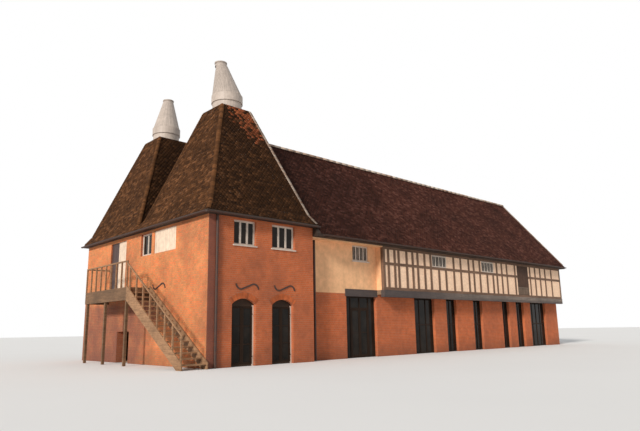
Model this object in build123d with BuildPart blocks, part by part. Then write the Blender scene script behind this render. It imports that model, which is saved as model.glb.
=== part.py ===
from build123d import *
import math
import os

# Oast house and oak-framed barn. +X runs along the barn, +Y into its depth, +Z is up, in mm.
# The origin is on the ground, under the middle of the near kiln.

# kilns
kiln_w = 5000.0
kiln_d = 5500.0
wall_t = 340.0
wall_h = 5400.0
slab_t = 60.0
storey_h = 3000.0
floor_t = 200.0

# kiln roofs
roof_over = 200.0
eave_edge = 80.0
sprocket_rise = 450.0
sprocket_run = 300.0
roof_top_z = 10700.0
roof_top_half = 725.0
roof_shell = 225.0

# cowls
curb_r = 640.0
curb_h = 350.0
ring_r = 685.0
ring_h = 350.0
ring_t = 100.0
cowl_gap = 6.0
cowl_base_r = 672.0
cowl_top_r = 262.0
cowl_h = 1694.0
cowl_t = 26.0
cowl_sill = 130.0
cowl_head = 150.0
cowl_cut = 430.0
cowl_sides = 20
curb_sides = 32
cap_over = 16.0
cap_h = 50.0
bar_w = 90.0
bar_h = 80.0
pivot_r = 35.0
near_cowl_turn = 105.0
far_cowl_turn = 57.0

# barn
barn_l = 22900.0
barn_d = 5400.0
brick_set = 450.0
bay_l = 4430.0
head_z = 5040.0
frame_t = 150.0
beam_h = 320.0
beam_d = 200.0
beam_proud = 20.0
beam_bear = 60.0
soffit_t = 50.0

# barn roof
eave_out = 300.0
eave_rise = 120.0
ridge_z = 9680.0
slab_drop = 330.0
end_over = 250.0
hip_in = 2100.0
kiln_lap = 0.35
cut_spare = 500.0
ridge_r = 130.0

# doorways
door_w = 1050.0
door_xs = (1030.0, 2860.0)
spring_z = 2200.0
arch_rise = 210.0
frame_bar = 60.0
leaf_head = 2130.0
leaf_t = 45.0
leaf_gap = 6.0
frame_d = 90.0
door_set = 120.0
screen_set = 150.0
screen_pane = 500.0
glass_t = 8.0
stile = 70.0
knuckle_r = 7.0
knuckle_l = 45.0
knuckle_sides = 8
hinge_plate = 30.0
seat_gap = 0.3
hinge_zs = (260.0, 1780.0)

# kiln windows, from the near left corner
win_t = 55.0
win_set = 90.0
bay_win_set = 40.0
frame_win_set = 30.0
shutter_set = 20.0
hoist_set = 60.0
win_bar = 45.0
sill_h = 50.0
sill_out = 40.0
sill_ear = 50.0
kiln_win_z = 4380.0
kiln_win_h = 940.0
kiln_wins = ((1080.0, 1000.0), (2860.0, 1150.0))

# left side openings, from the near left corner along +Y
shutter_w = 1750.0
side_win_w = 960.0
side_win_gap = 240.0
side_win_back = 210.0
side_z = 4380.0
side_h = 920.0
hoist_off = 1200.0
hoist_w = 1600.0
hoist_head = 150.0
low_off = 550.0
low_w = 1150.0
low_h = 1300.0

# entrance, from the barn's left end
entrance_x = 2360.0
entrance_w = 1990.0
side_light = 440.0

# jettied run: places from the bay's end, as drawn on a run of this length, stretch with the real one
drawn_run = 18470.0
screens = ((2770.0, 1660.0), (5500.0, 960.0), (8100.0, 930.0),
           (11250.0, 820.0), (12920.0, 960.0), (14720.0, 2060.0))

# bay window
bay_win_x = 2840.0
bay_win_w = 1040.0
bay_win_z = 4290.0
bay_win_h = 700.0

# timber frame
stud_w = 150.0
rail_h = 130.0
mid_rail_up = 1170.0
panel_set = 22.0
panel_t = 100.0
studs = (390.0, 860.0, 1160.0, 1770.0, 2240.0, 2640.0, 3210.0, 3720.0, 4410.0, 5030.0,
         5770.0, 6430.0, 7220.0, 7720.0, 8340.0, 9090.0, 9740.0, 10190.0, 10760.0,
         11350.0, 12320.0, 14230.0, 14910.0, 15600.0, 16300.0, 17180.0)
frame_wins = ((3860.0, 1260.0), (8560.0, 1300.0))
back_wins = 5
back_win_w = 1260.0
back_low_z = 950.0
back_low_h = 1250.0
plain_stud_step = 900.0
end_win_w = 1260.0
board_x = 12600.0
board_w = 1390.0

# outside stair and landing on the left wall
stair_w = 1050.0
risers = 16
going = 290.0
tread_t = 45.0
stair_end = 4200.0
landing_l = 4100.0
landing_t = 50.0
fascia_h = 500.0
post_w = 100.0
rail_z = 1000.0
string_t = 50.0
string_nose = 40.0
string_up = 60.0
stair_off = 30.0
rail_bar = 55.0
rail_bays = 8
rail_lap = 5.0

# iron tie plates: a flat bar bent to a lazy S, from the near left corner
tie_bar = 60.0
tie_t = 20.0
tie_w = 1080.0
tie_h = 380.0
tie_drop = 150.0
side_tie_rise = 30.0
tie_xs = (1700.0, 3480.0)
side_tie_y = 3550.0

# gutters and downpipes
pipe_r = 50.0
barn_pipe_gap = 385.0
corner_pipe_x = 330.0
pipe_stop = 60.0
gutter_r = 62.0
gutter_t = 8.0
gutter_z = 30.0

# places that follow from the sizes above
kx0 = -kiln_w / 2
kx1 = kiln_w / 2
ky0 = -kiln_d / 2
ky1 = kiln_d / 2
ky2 = ky1 + kiln_d
bx1 = kx1 + barn_l
brick_y = ky0 + brick_set
back_y = ky0 + barn_d
ridge_y = ky0 + barn_d / 2
bay_end = kx1 + bay_l
beam_x = kx1 + entrance_x - beam_bear
run_k = (barn_l - bay_l) / drawn_run
side_win_y = kiln_d - side_win_back - side_win_w
shutter_y = side_win_y - side_win_gap - shutter_w
hoist_y = kiln_d + hoist_off
hoist_h = wall_h - storey_h - hoist_head
low_y = kiln_d + low_off
run_screens = [(bay_end + x * run_k, w * run_k) for x, w in screens]
run_wins = [(bay_end + x * run_k, w * run_k) for x, w in frame_wins]
board_x0 = bay_end + board_x * run_k
board_x1 = board_x0 + board_w * run_k
back_step = barn_l / back_wins
back_win_xs = [kx1 + (i + 0.5) * back_step - back_win_w / 2 for i in range(back_wins)]
low = (Align.MIN, Align.MIN)
corner = (Align.MIN, Align.MIN, Align.MIN)
top_z = wall_h + eave_edge


def block(x0, y0, z0, x1, y1, z1, mode=Mode.ADD):
    """A box between two corners, in the part that is open."""
    with Locations((x0, y0, z0)):
        Box(x1 - x0, y1 - y0, z1 - z0, align=corner, mode=mode)


def facing(y):
    """A plane whose sketch is seen from the front, at depth y."""
    return Plane.XZ.offset(-y)


def hole(x, z, w, h, mode=Mode.SUBTRACT):
    """A rectangle by its low corner, in the sketch that is open."""
    with Locations((x, z)):
        Rectangle(w, h, align=low, mode=mode)


def lights(x, z, w, h, cols, rows, rim, bar, mode):
    """The panes of a window: a grid of rectangles inside its rim."""
    pane_w = (w - 2 * rim - (cols - 1) * bar) / cols
    pane_h = (h - 2 * rim - (rows - 1) * bar) / rows
    with Locations((x + w / 2, z + h / 2)):
        with GridLocations(pane_w + bar, pane_h + bar, cols, rows):
            Rectangle(pane_w, pane_h, mode=mode)


def arch_shape(x, w):
    """A doorway with a segmental head, closed at the ground."""
    with BuildLine() as rim:
        a = Line((x, spring_z), (x, 0))
        b = Line(a @ 1, (x + w, 0))
        c = Line(b @ 1, (x + w, spring_z))
        ThreePointArc(c @ 1, (x + w / 2, spring_z + arch_rise), a @ 0)
    make_face(rim.line)


# near kiln, front wall: piers beside the doorways
with BuildPart() as near_kiln_piers:
    with BuildSketch(facing(ky0 + wall_t)):
        hole(kx0, 0, kiln_w, spring_z, Mode.ADD)
        for x in door_xs:
            hole(kx0 + x, 0, door_w, spring_z)
    extrude(amount=wall_t)

# near kiln, front wall over the doorways, with its arches and windows
with BuildPart() as near_kiln_front:
    with BuildSketch(facing(ky0 + wall_t)):
        hole(kx0, spring_z, kiln_w, wall_h - spring_z, Mode.ADD)
        for x, w in kiln_wins:
            hole(kx0 + x, kiln_win_z, w, kiln_win_h)
    extrude(amount=wall_t)
    with BuildSketch(facing(ky0 + wall_t)):
        for x in door_xs:
            arch_shape(kx0 + x, door_w)
    extrude(amount=wall_t, mode=Mode.SUBTRACT)

# left walls of both kilns
with BuildPart() as near_kiln_left_wall:
    with BuildSketch(Plane.YZ.offset(kx0)):
        hole(ky0 + wall_t, 0, kiln_d - wall_t, wall_h, Mode.ADD)
        hole(ky0 + shutter_y, side_z, shutter_w, side_h)
        hole(ky0 + side_win_y, side_z, side_win_w, side_h)
    extrude(amount=wall_t)

with BuildPart() as far_kiln_left_wall:
    with BuildSketch(Plane.YZ.offset(kx0)):
        hole(ky1, 0, kiln_d - wall_t, wall_h, Mode.ADD)
        hole(ky0 + hoist_y, storey_h, hoist_w, hoist_h)
        hole(ky0 + low_y, 0, low_w, low_h)
    extrude(amount=wall_t)

# wall between the kilns
with BuildPart() as kiln_party_wall:
    block(kx0 + wall_t, ky1 - wall_t / 2, 0, kx1 - wall_t, ky1 + wall_t / 2, wall_h)

# far kiln, back wall
with BuildPart() as far_kiln_back_wall:
    with BuildSketch(facing(ky2)):
        hole(kx0, 0, kiln_w, wall_h, Mode.ADD)
        for x, w in kiln_wins:
            hole(kx0 + x, kiln_win_z, w, kiln_win_h)
    extrude(amount=wall_t)

# right wall of both kilns
with BuildPart() as kiln_right_wall:
    block(kx1 - wall_t, ky0 + wall_t, 0, kx1, ky2 - wall_t, wall_h)

# kiln floors
with BuildPart() as kiln_floors:
    for y0, y1 in ((ky0 + wall_t, ky1 - wall_t / 2), (ky1 + wall_t / 2, ky2 - wall_t)):
        block(kx0 + wall_t, y0, 0, kx1 - wall_t, y1, slab_t)
        block(kx0 + wall_t, y0, storey_h - floor_t, kx1 - wall_t, y1, storey_h)


def outline(plane, points):
    """A closed shape of straight edges, placed on a plane."""
    with BuildSketch(plane) as face:
        with BuildLine() as rim:
            Polyline(*points, close=True)
        make_face(rim.line)
    return face.sketch


def roof_line(a, b, mid):
    """One side view of a kiln roof: eave edge, flatter foot, then a steep slope to the flat top."""
    knee_z = top_z + sprocket_rise
    return ((a, wall_h), (a, top_z), (a + sprocket_run, knee_z), (mid - roof_top_half, roof_top_z),
            (mid + roof_top_half, roof_top_z), (b - sprocket_run, knee_z), (b, top_z), (b, wall_h))


def kiln_body(ya, yb, mid):
    """The outside of a kiln roof, where its front view and its side view cross."""
    x_out = kiln_w / 2 + roof_over
    extrude(outline(facing(yb), roof_line(-x_out, x_out, 0)), amount=yb - ya)
    extrude(outline(Plane.YZ.offset(-x_out), roof_line(ya, yb, mid)), amount=2 * x_out, mode=Mode.INTERSECT)


def kiln_hollow(y0, y1, mid):
    """The open space inside a kiln roof, from the wall head up through the flat top."""
    half = roof_top_half - roof_shell
    x_in = kiln_w / 2 - roof_shell
    ya = y0 + roof_shell
    yb = y1 - roof_shell
    extrude(outline(facing(yb), ((-x_in, wall_h), (x_in, wall_h), (half, roof_top_z), (-half, roof_top_z))),
            amount=yb - ya)
    extrude(outline(Plane.YZ.offset(-x_in), ((ya, wall_h), (yb, wall_h), (mid + half, roof_top_z),
                                             (mid - half, roof_top_z))), amount=2 * x_in, mode=Mode.INTERSECT)


with BuildPart() as near_kiln_body:
    kiln_body(ky0 - roof_over, ky1, 0)
with BuildPart() as far_kiln_body:
    kiln_body(ky1, ky2 + roof_over, kiln_d)
with BuildPart() as near_kiln_hollow:
    kiln_hollow(ky0, ky1, 0)
with BuildPart() as far_kiln_hollow:
    kiln_hollow(ky1, ky2, kiln_d)

with BuildPart() as near_kiln_roof:
    add(near_kiln_body.part)
    add(near_kiln_hollow.part, mode=Mode.SUBTRACT)

with BuildPart() as far_kiln_roof:
    add(far_kiln_body.part)
    add(far_kiln_hollow.part, mode=Mode.SUBTRACT)

kiln_mids = (0.0, kiln_d)

ring_top = roof_top_z + curb_h + ring_h

# fixed curbs on the kiln roofs, each with a bar and the pivot that carries the cowl
with BuildPart() as cowl_curbs:
    for y in kiln_mids:
        with BuildSketch(Plane.XY.offset(roof_top_z)):
            with Locations((0, y)):
                RegularPolygon(curb_r, curb_sides)
        extrude(amount=curb_h)
        with BuildSketch(Plane.XY.offset(roof_top_z + curb_h)):
            with Locations((0, y)):
                RegularPolygon(ring_r, curb_sides)
        extrude(amount=ring_h)
        with BuildSketch(Plane.XY.offset(roof_top_z)):
            with Locations((0, y)):
                RegularPolygon(curb_r - ring_t, curb_sides)
        extrude(amount=curb_h + ring_h, mode=Mode.SUBTRACT)
        with Locations((0, y, ring_top - 2 * bar_h)):
            Box(2 * (ring_r - ring_t / 2), bar_w, bar_h, align=(Align.CENTER, Align.CENTER, Align.MIN))
            Cylinder(pivot_r, 2 * bar_h + cowl_gap - seat_gap, align=(Align.CENTER, Align.CENTER, Align.MIN))

cowl_z = ring_top + cowl_gap

# a cowl is a leaning cone: its lean equals its own half angle, so that the open side is upright
cowl_a = math.atan2(2 * (cowl_base_r - cowl_top_r), cowl_h) / 2
cowl_x = cowl_base_r * math.tan(cowl_a) ** 2
cowl_r = (cowl_base_r - cowl_x) / math.cos(cowl_a)
cowl_spare = 200.0
cowl_run = cowl_h / math.cos(cowl_a) + 2 * cowl_spare


def leaning_cone(foot, thin, mode):
    """The long leaning cone of flat boards that a cowl is cut from, thinner by thin."""
    axis = foot.x_dir * math.sin(cowl_a) + foot.z_dir * math.cos(cowl_a)
    start = foot.origin + foot.x_dir * cowl_x - axis * cowl_spare
    with BuildSketch(Plane(origin=start, x_dir=foot.y_dir, z_dir=axis)) as base:
        RegularPolygon(cowl_r + cowl_spare * math.tan(cowl_a) - thin, cowl_sides)
    extrude(base.sketch, amount=cowl_run, taper=math.degrees(cowl_a), mode=mode)


def cowl(y, turn):
    """A boarded cowl on its bar, with a mouth on the upright side and a small cap."""
    foot = Plane(origin=(0, y, cowl_z), z_dir=(0, 0, 1)).rotated((0, 0, turn))
    leaning_cone(foot, 0, Mode.ADD)
    with BuildSketch(foot) as ground:
        Rectangle(4 * cowl_base_r, 4 * cowl_base_r)
    extrude(ground.sketch, amount=cowl_h, mode=Mode.INTERSECT)
    leaning_cone(foot, cowl_t, Mode.SUBTRACT)
    with BuildSketch(foot.offset(cowl_sill)) as mouth:
        with Locations((cowl_cut, 0)):
            Rectangle(cowl_base_r, 2 * cowl_base_r, align=(Align.MIN, Align.CENTER))
    extrude(mouth.sketch, amount=cowl_h - cowl_sill - cowl_head, mode=Mode.SUBTRACT)
    with BuildSketch(foot) as bar:
        Rectangle(2 * cowl_base_r - cowl_t, bar_w)
    extrude(bar.sketch, amount=bar_h)
    with BuildSketch(foot.offset(cowl_h)) as cap:
        with Locations((cowl_base_r - cowl_top_r, 0)):
            Circle(cowl_top_r + cap_over)
    extrude(cap.sketch, amount=cap_h)


with BuildPart() as near_cowl:
    cowl(kiln_mids[0], near_cowl_turn)

with BuildPart() as far_cowl:
    cowl(kiln_mids[1], far_cowl_turn)

# kiln doorways: frames, leaves and their glass
frame_y = ky0 + door_set
leaf_w = (door_w - 2 * frame_bar - 3 * leaf_gap) / 2


def knuckle(x, y, z, way):
    """Half a lift-off hinge: a barrel in front of the face, and its plate to one side."""
    with BuildSketch(Plane.XY.offset(z)) as barrel:
        with Locations((x, y - knuckle_r)):
            RegularPolygon(knuckle_r, knuckle_sides)
    extrude(barrel.sketch, amount=knuckle_l)
    if way > 0:
        block(x, y - 2 * knuckle_r / 3, z, x + hinge_plate, y, z + knuckle_l)
    else:
        block(x - hinge_plate, y - 2 * knuckle_r / 3, z, x, y, z + knuckle_l)


def fixed_knuckles(x, y, way):
    """The lower halves of a leaf's hinges, on its frame."""
    for z in hinge_zs:
        knuckle(x, y, z, way)


with BuildPart() as kiln_door_frames:
    for x in door_xs:
        with BuildSketch(facing(frame_y + frame_d)):
            arch_shape(kx0 + x, door_w)
            hole(kx0 + x + frame_bar, slab_t, door_w - 2 * frame_bar, leaf_head - slab_t)
        extrude(amount=frame_d)
        fixed_knuckles(kx0 + x + frame_bar + leaf_gap / 2, frame_y, -1)
        fixed_knuckles(kx0 + x + door_w - frame_bar - leaf_gap / 2, frame_y, 1)


def leaf_frame(x, y, w, z, h, rows, way):
    """A glazed door leaf: stiles, rails, bars and the upper halves of its hinges."""
    edge = x - leaf_gap / 2
    if way < 0:
        edge = x + w + leaf_gap / 2
    for low_z in hinge_zs:
        knuckle(edge, y, low_z + knuckle_l + seat_gap, way)
    with BuildSketch(facing(y + leaf_t)) as face:
        hole(x, z, w, h, Mode.ADD)
        lights(x, z, w, h, 1, rows, stile, stile / 2, Mode.SUBTRACT)
    extrude(face.sketch, amount=leaf_t)


def leaf_panes(x, y, w, z, h, rows):
    """The glass of one leaf, in the middle of its thickness."""
    with BuildSketch(facing(y + (leaf_t + glass_t) / 2)) as face:
        lights(x, z, w, h, 1, rows, stile, stile / 2, Mode.ADD)
    extrude(face.sketch, amount=glass_t)


leaf_z = slab_t + leaf_gap
leaf_h = leaf_head - slab_t - 2 * leaf_gap
kiln_leaf_xs = []
for x in door_xs:
    kiln_leaf_xs.append(kx0 + x + frame_bar + leaf_gap)
    kiln_leaf_xs.append(kx0 + x + frame_bar + 2 * leaf_gap + leaf_w)

with BuildPart() as door_1_left_leaf:
    leaf_frame(kiln_leaf_xs[0], frame_y, leaf_w, leaf_z, leaf_h, 3, 1)
with BuildPart() as door_1_right_leaf:
    leaf_frame(kiln_leaf_xs[1], frame_y, leaf_w, leaf_z, leaf_h, 3, -1)
with BuildPart() as door_2_left_leaf:
    leaf_frame(kiln_leaf_xs[2], frame_y, leaf_w, leaf_z, leaf_h, 3, 1)
with BuildPart() as door_2_right_leaf:
    leaf_frame(kiln_leaf_xs[3], frame_y, leaf_w, leaf_z, leaf_h, 3, -1)

with BuildPart() as door_1_left_glass:
    leaf_panes(kiln_leaf_xs[0], frame_y, leaf_w, leaf_z, leaf_h, 3)
with BuildPart() as door_1_right_glass:
    leaf_panes(kiln_leaf_xs[1], frame_y, leaf_w, leaf_z, leaf_h, 3)
with BuildPart() as door_2_left_glass:
    leaf_panes(kiln_leaf_xs[2], frame_y, leaf_w, leaf_z, leaf_h, 3)
with BuildPart() as door_2_right_glass:
    leaf_panes(kiln_leaf_xs[3], frame_y, leaf_w, leaf_z, leaf_h, 3)

# kiln windows: near front, far back, and the left side one
kiln_win_ys = (ky0 + win_set + win_t, ky2 - win_set)
with BuildPart() as kiln_windows:
    for y in kiln_win_ys:
        for x, w in kiln_wins:
            with BuildSketch(facing(y)):
                hole(kx0 + x, kiln_win_z, w, kiln_win_h, Mode.ADD)
                lights(kx0 + x, kiln_win_z, w, kiln_win_h, 3, 1, win_bar, win_bar, Mode.SUBTRACT)
            extrude(amount=win_t)
    for x, w in kiln_wins:
        block(kx0 + x - sill_ear, ky0 - sill_out, kiln_win_z - sill_h,
              kx0 + x + w + sill_ear, ky0, kiln_win_z)
    with BuildSketch(Plane.YZ.offset(kx0 + win_set)):
        hole(ky0 + side_win_y, side_z, side_win_w, side_h, Mode.ADD)
        lights(ky0 + side_win_y, side_z, side_win_w, side_h, 2, 1, win_bar, win_bar, Mode.SUBTRACT)
    extrude(amount=win_t)

with BuildPart() as kiln_window_glass:
    for y in kiln_win_ys:
        for x, w in kiln_wins:
            with BuildSketch(facing(y - (win_t - glass_t) / 2)):
                lights(kx0 + x, kiln_win_z, w, kiln_win_h, 3, 1, win_bar, win_bar, Mode.ADD)
            extrude(amount=glass_t)
    with BuildSketch(Plane.YZ.offset(kx0 + win_set + (win_t - glass_t) / 2)):
        lights(ky0 + side_win_y, side_z, side_win_w, side_h, 2, 1, win_bar, win_bar, Mode.ADD)
    extrude(amount=glass_t)

# boarded shutter and upper door of the left side
with BuildPart() as side_boards:
    with BuildSketch(Plane.YZ.offset(kx0 + shutter_set)):
        hole(ky0 + shutter_y, side_z, shutter_w, side_h, Mode.ADD)
    extrude(amount=win_t)
    with BuildSketch(Plane.YZ.offset(kx0 + hoist_set)):
        hole(ky0 + hoist_y, storey_h, hoist_w, hoist_h, Mode.ADD)
    extrude(amount=win_t)

# barn ground floor
with BuildPart() as barn_ground_floor:
    block(kx1, brick_y + wall_t, 0, bx1 - wall_t, back_y - wall_t, slab_t)

# barn upper floor: over the bay it stops at the wall, beyond it carries the jetty
with BuildPart() as barn_upper_floor:
    block(kx1, brick_y + wall_t, storey_h - floor_t, bay_end, back_y - wall_t, storey_h)
    block(bay_end, ky0 + beam_d, storey_h - floor_t, bx1 - wall_t, back_y - wall_t, storey_h)

# brick piers of the barn front
gaps = [(kx1 + entrance_x, entrance_w)] + run_screens
with BuildPart() as barn_piers:
    with BuildSketch(facing(brick_y + wall_t)):
        hole(kx1, 0, barn_l - wall_t, storey_h - floor_t, Mode.ADD)
        for x, w in gaps:
            hole(x, 0, w, storey_h - floor_t)
        hole(beam_x, storey_h - beam_h, bay_end - beam_x, beam_h)
    extrude(amount=wall_t)

# plain rendered bay between kiln and timber frame, its return and the soffit of its deep eave
with BuildPart() as bay_wall:
    with BuildSketch(facing(brick_y + wall_t)):
        hole(kx1, storey_h, bay_l, head_z - storey_h, Mode.ADD)
        hole(kx1, storey_h - floor_t, beam_x - kx1, floor_t, Mode.ADD)
        hole(kx1 + bay_win_x, bay_win_z, bay_win_w, bay_win_h)
    extrude(amount=wall_t)
    block(bay_end, ky0 + frame_t, storey_h, bay_end + panel_t, brick_y + wall_t, head_z)
    block(kx1, ky0, head_z - soffit_t, bay_end, brick_y, head_z)

# beams: over the entrance, and along the foot of the jetty
with BuildPart() as storey_beams:
    block(beam_x, brick_y - beam_proud, storey_h - beam_h, bay_end, brick_y + wall_t, storey_h)
    block(bay_end, ky0 - beam_proud, storey_h - beam_h, bx1, ky0 + beam_d, storey_h)

# timber frame of the front, the back and the right end
mid_rail_z = storey_h + mid_rail_up
win_z = mid_rail_z + rail_h
glaze_h = head_z - rail_h - win_z


def timber_face(a, b, stud_xs):
    """Sole, middle and top rails, end posts and studs, in the sketch that is open."""
    for z in (storey_h, mid_rail_z, head_z - rail_h):
        hole(a, z, b - a, rail_h, Mode.ADD)
    for x in (a, b - stud_w):
        hole(x, storey_h, stud_w, head_z - storey_h, Mode.ADD)
    for x in stud_xs:
        hole(x - stud_w / 2, storey_h, stud_w, head_z - storey_h, Mode.ADD)


def even_studs(a, b):
    """Studs at even steps between two end posts."""
    bays = round((b - a) / plain_stud_step)
    return [a + i * (b - a) / bays for i in range(1, bays)]


front_studs = [bay_end + x * run_k for x in studs]
end_a = ky0 + frame_t + seat_gap
end_b = back_y - frame_t - seat_gap
end_win_y = (end_a + end_b - end_win_w) / 2
with BuildPart() as timber_frame:
    with BuildSketch(facing(ky0 + frame_t)):
        timber_face(bay_end, bx1, front_studs)
        for x, w in run_wins:
            hole(x, win_z, w, glaze_h)
        hole(board_x0, storey_h + rail_h, board_x1 - board_x0, head_z - storey_h - 2 * rail_h)
    extrude(amount=frame_t)
    with BuildSketch(facing(back_y)):
        timber_face(kx1, bx1, even_studs(kx1, bx1))
        for x in back_win_xs:
            hole(x, win_z, back_win_w, glaze_h)
    extrude(amount=frame_t)
    with BuildSketch(Plane.YZ.offset(bx1 - frame_t)):
        timber_face(end_a, end_b, even_studs(end_a, end_b))
        hole(end_win_y, win_z, end_win_w, glaze_h)
    extrude(amount=frame_t)

# cream panels between the timbers
with BuildPart() as infill_panels:
    with BuildSketch(facing(ky0 + panel_set + panel_t)):
        hole(bay_end, storey_h, bx1 - bay_end, head_z - storey_h, Mode.ADD)
        for x, w in run_wins:
            hole(x, win_z, w, glaze_h)
        hole(board_x0, storey_h + rail_h, board_x1 - board_x0, head_z - storey_h - 2 * rail_h)
    extrude(amount=panel_t)
    with BuildSketch(facing(back_y - panel_set)):
        hole(kx1, storey_h, bx1 - kx1, head_z - storey_h, Mode.ADD)
        for x in back_win_xs:
            hole(x, win_z, back_win_w, glaze_h)
    extrude(amount=panel_t)
    with BuildSketch(Plane.YZ.offset(bx1 - panel_set - panel_t)):
        hole(end_a, storey_h, end_b - end_a, head_z - storey_h, Mode.ADD)
        hole(end_win_y, win_z, end_win_w, glaze_h)
    extrude(amount=panel_t)
    add(timber_frame.part, mode=Mode.SUBTRACT)

# barn windows: in the timber frame, in the bay, and in the brick of the back
barn_wins = [(x, win_z, w, glaze_h, ky0 + frame_win_set + win_t, 4) for x, w in run_wins]
barn_wins.append((kx1 + bay_win_x, bay_win_z, bay_win_w, bay_win_h, brick_y + bay_win_set + win_t, 4))
for x in back_win_xs:
    barn_wins.append((x, win_z, back_win_w, glaze_h, back_y - frame_win_set, 4))
    barn_wins.append((x, back_low_z, back_win_w, back_low_h, back_y - win_set, 3))

with BuildPart() as barn_windows:
    for x, z, w, h, y, cols in barn_wins:
        with BuildSketch(facing(y)):
            hole(x, z, w, h, Mode.ADD)
            lights(x, z, w, h, cols, 1, win_bar, win_bar, Mode.SUBTRACT)
        extrude(amount=win_t)
    block(kx1 + bay_win_x - sill_ear, brick_y - sill_out, bay_win_z - sill_h,
          kx1 + bay_win_x + bay_win_w + sill_ear, brick_y, bay_win_z)
    with BuildSketch(Plane.YZ.offset(bx1 - frame_win_set - win_t)):
        hole(end_win_y, win_z, end_win_w, glaze_h, Mode.ADD)
        lights(end_win_y, win_z, end_win_w, glaze_h, 4, 1, win_bar, win_bar, Mode.SUBTRACT)
    extrude(amount=win_t)

with BuildPart() as barn_window_glass:
    for x, z, w, h, y, cols in barn_wins:
        with BuildSketch(facing(y - (win_t - glass_t) / 2)):
            lights(x, z, w, h, cols, 1, win_bar, win_bar, Mode.ADD)
        extrude(amount=glass_t)
    with BuildSketch(Plane.YZ.offset(bx1 - frame_win_set - (win_t + glass_t) / 2)):
        lights(end_win_y, win_z, end_win_w, glaze_h, 4, 1, win_bar, win_bar, Mode.ADD)
    extrude(amount=glass_t)

with BuildPart() as boarded_panel:
    with BuildSketch(facing(ky0 + shutter_set + win_t)):
        hole(board_x0, storey_h + rail_h, board_x1 - board_x0, head_z - storey_h - 2 * rail_h, Mode.ADD)
    extrude(amount=win_t)

# glazed screens of the brick storey, and the entrance with its fixed side lights
screen_y = brick_y + screen_set
screen_h = storey_h - floor_t
entrance_h = storey_h - beam_h
pair_x = kx1 + entrance_x + side_light
pair_w = entrance_w - 2 * side_light

with BuildPart() as ground_screens:
    for x, w in run_screens:
        cols = max(1, round(w / screen_pane))
        with BuildSketch(facing(screen_y + win_t)):
            hole(x, 0, w, screen_h, Mode.ADD)
            lights(x, 0, w, screen_h, cols, 2, frame_bar, frame_bar, Mode.SUBTRACT)
        extrude(amount=win_t)

with BuildPart() as entrance_frame:
    with BuildSketch(facing(screen_y + win_t)):
        hole(kx1 + entrance_x, 0, entrance_w, entrance_h, Mode.ADD)
        for x in (kx1 + entrance_x, pair_x + pair_w):
            lights(x, 0, side_light, entrance_h, 1, 1, frame_bar, frame_bar, Mode.SUBTRACT)
        hole(pair_x, slab_t, pair_w, leaf_head - slab_t)
        lights(pair_x - frame_bar, leaf_head, pair_w + 2 * frame_bar, entrance_h - leaf_head,
               2, 1, frame_bar, frame_bar, Mode.SUBTRACT)
    extrude(amount=win_t)
    fixed_knuckles(pair_x + leaf_gap / 2, screen_y, -1)
    fixed_knuckles(pair_x + pair_w - leaf_gap / 2, screen_y, 1)

with BuildPart() as ground_screen_glass:
    for x, w in run_screens:
        cols = max(1, round(w / screen_pane))
        with BuildSketch(facing(screen_y + (win_t + glass_t) / 2)):
            lights(x, 0, w, screen_h, cols, 2, frame_bar, frame_bar, Mode.ADD)
        extrude(amount=glass_t)
    with BuildSketch(facing(screen_y + (win_t + glass_t) / 2)):
        for x in (kx1 + entrance_x, pair_x + pair_w):
            lights(x, 0, side_light, entrance_h, 1, 1, frame_bar, frame_bar, Mode.ADD)
        lights(pair_x - frame_bar, leaf_head, pair_w + 2 * frame_bar, entrance_h - leaf_head,
               2, 1, frame_bar, frame_bar, Mode.ADD)
    extrude(amount=glass_t)

entry_w = (pair_w - 3 * leaf_gap) / 2
entry_xs = (pair_x + leaf_gap, pair_x + 2 * leaf_gap + entry_w)
with BuildPart() as entrance_left_leaf:
    leaf_frame(entry_xs[0], screen_y, entry_w, leaf_z, leaf_h, 2, 1)
with BuildPart() as entrance_right_leaf:
    leaf_frame(entry_xs[1], screen_y, entry_w, leaf_z, leaf_h, 2, -1)
with BuildPart() as entrance_left_glass:
    leaf_panes(entry_xs[0], screen_y, entry_w, leaf_z, leaf_h, 2)
with BuildPart() as entrance_right_glass:
    leaf_panes(entry_xs[1], screen_y, entry_w, leaf_z, leaf_h, 2)

# brick storey of the barn's back and right end
with BuildPart() as barn_back_wall:
    with BuildSketch(facing(back_y)):
        hole(kx1, 0, barn_l, storey_h, Mode.ADD)
        for x in back_win_xs:
            hole(x, back_low_z, back_win_w, back_low_h)
    extrude(amount=wall_t)

with BuildPart() as barn_end_wall:
    block(bx1 - wall_t, brick_y, 0, bx1, back_y - wall_t, storey_h)
    block(bx1 - wall_t, ky0 + beam_d, storey_h - floor_t, bx1, brick_y, storey_h)

# barn roof: an outer and an inner shape, then cut into three slopes
slope = (ridge_z - head_z - eave_rise) / (barn_d / 2 + eave_out)
seat = frame_t
x_start = kx1 - kiln_lap * kiln_w
inner_eave_z = head_z + eave_rise + slope * (eave_out + seat) - slab_drop
inner_ridge_z = ridge_z - slab_drop
hip_slope = (ridge_z - head_z - eave_rise) / (hip_in + end_over)


def roof_body(profile, x_end, eave_z, rise_per_m, depth0, depth1):
    """A long roof on a profile, its right end cut to a hip above the eave."""
    extrude(outline(Plane.YZ.offset(x_start), profile), amount=x_end - x_start)
    high = ridge_z + cut_spare
    cutter = outline(facing(depth1), ((x_end, eave_z), (x_end + 10, eave_z), (x_end + 10, high),
                                      (x_end - (high - eave_z) / rise_per_m, high)))
    extrude(cutter, amount=depth1 - depth0, mode=Mode.SUBTRACT)


with BuildPart() as barn_hollow:
    roof_body(((ky0 + seat, head_z), (ky0 + seat, inner_eave_z), (ridge_y, inner_ridge_z),
               (back_y - seat, inner_eave_z), (back_y - seat, head_z)),
              bx1 - seat, inner_eave_z, hip_slope, ky0 - eave_out, back_y + eave_out)


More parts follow.
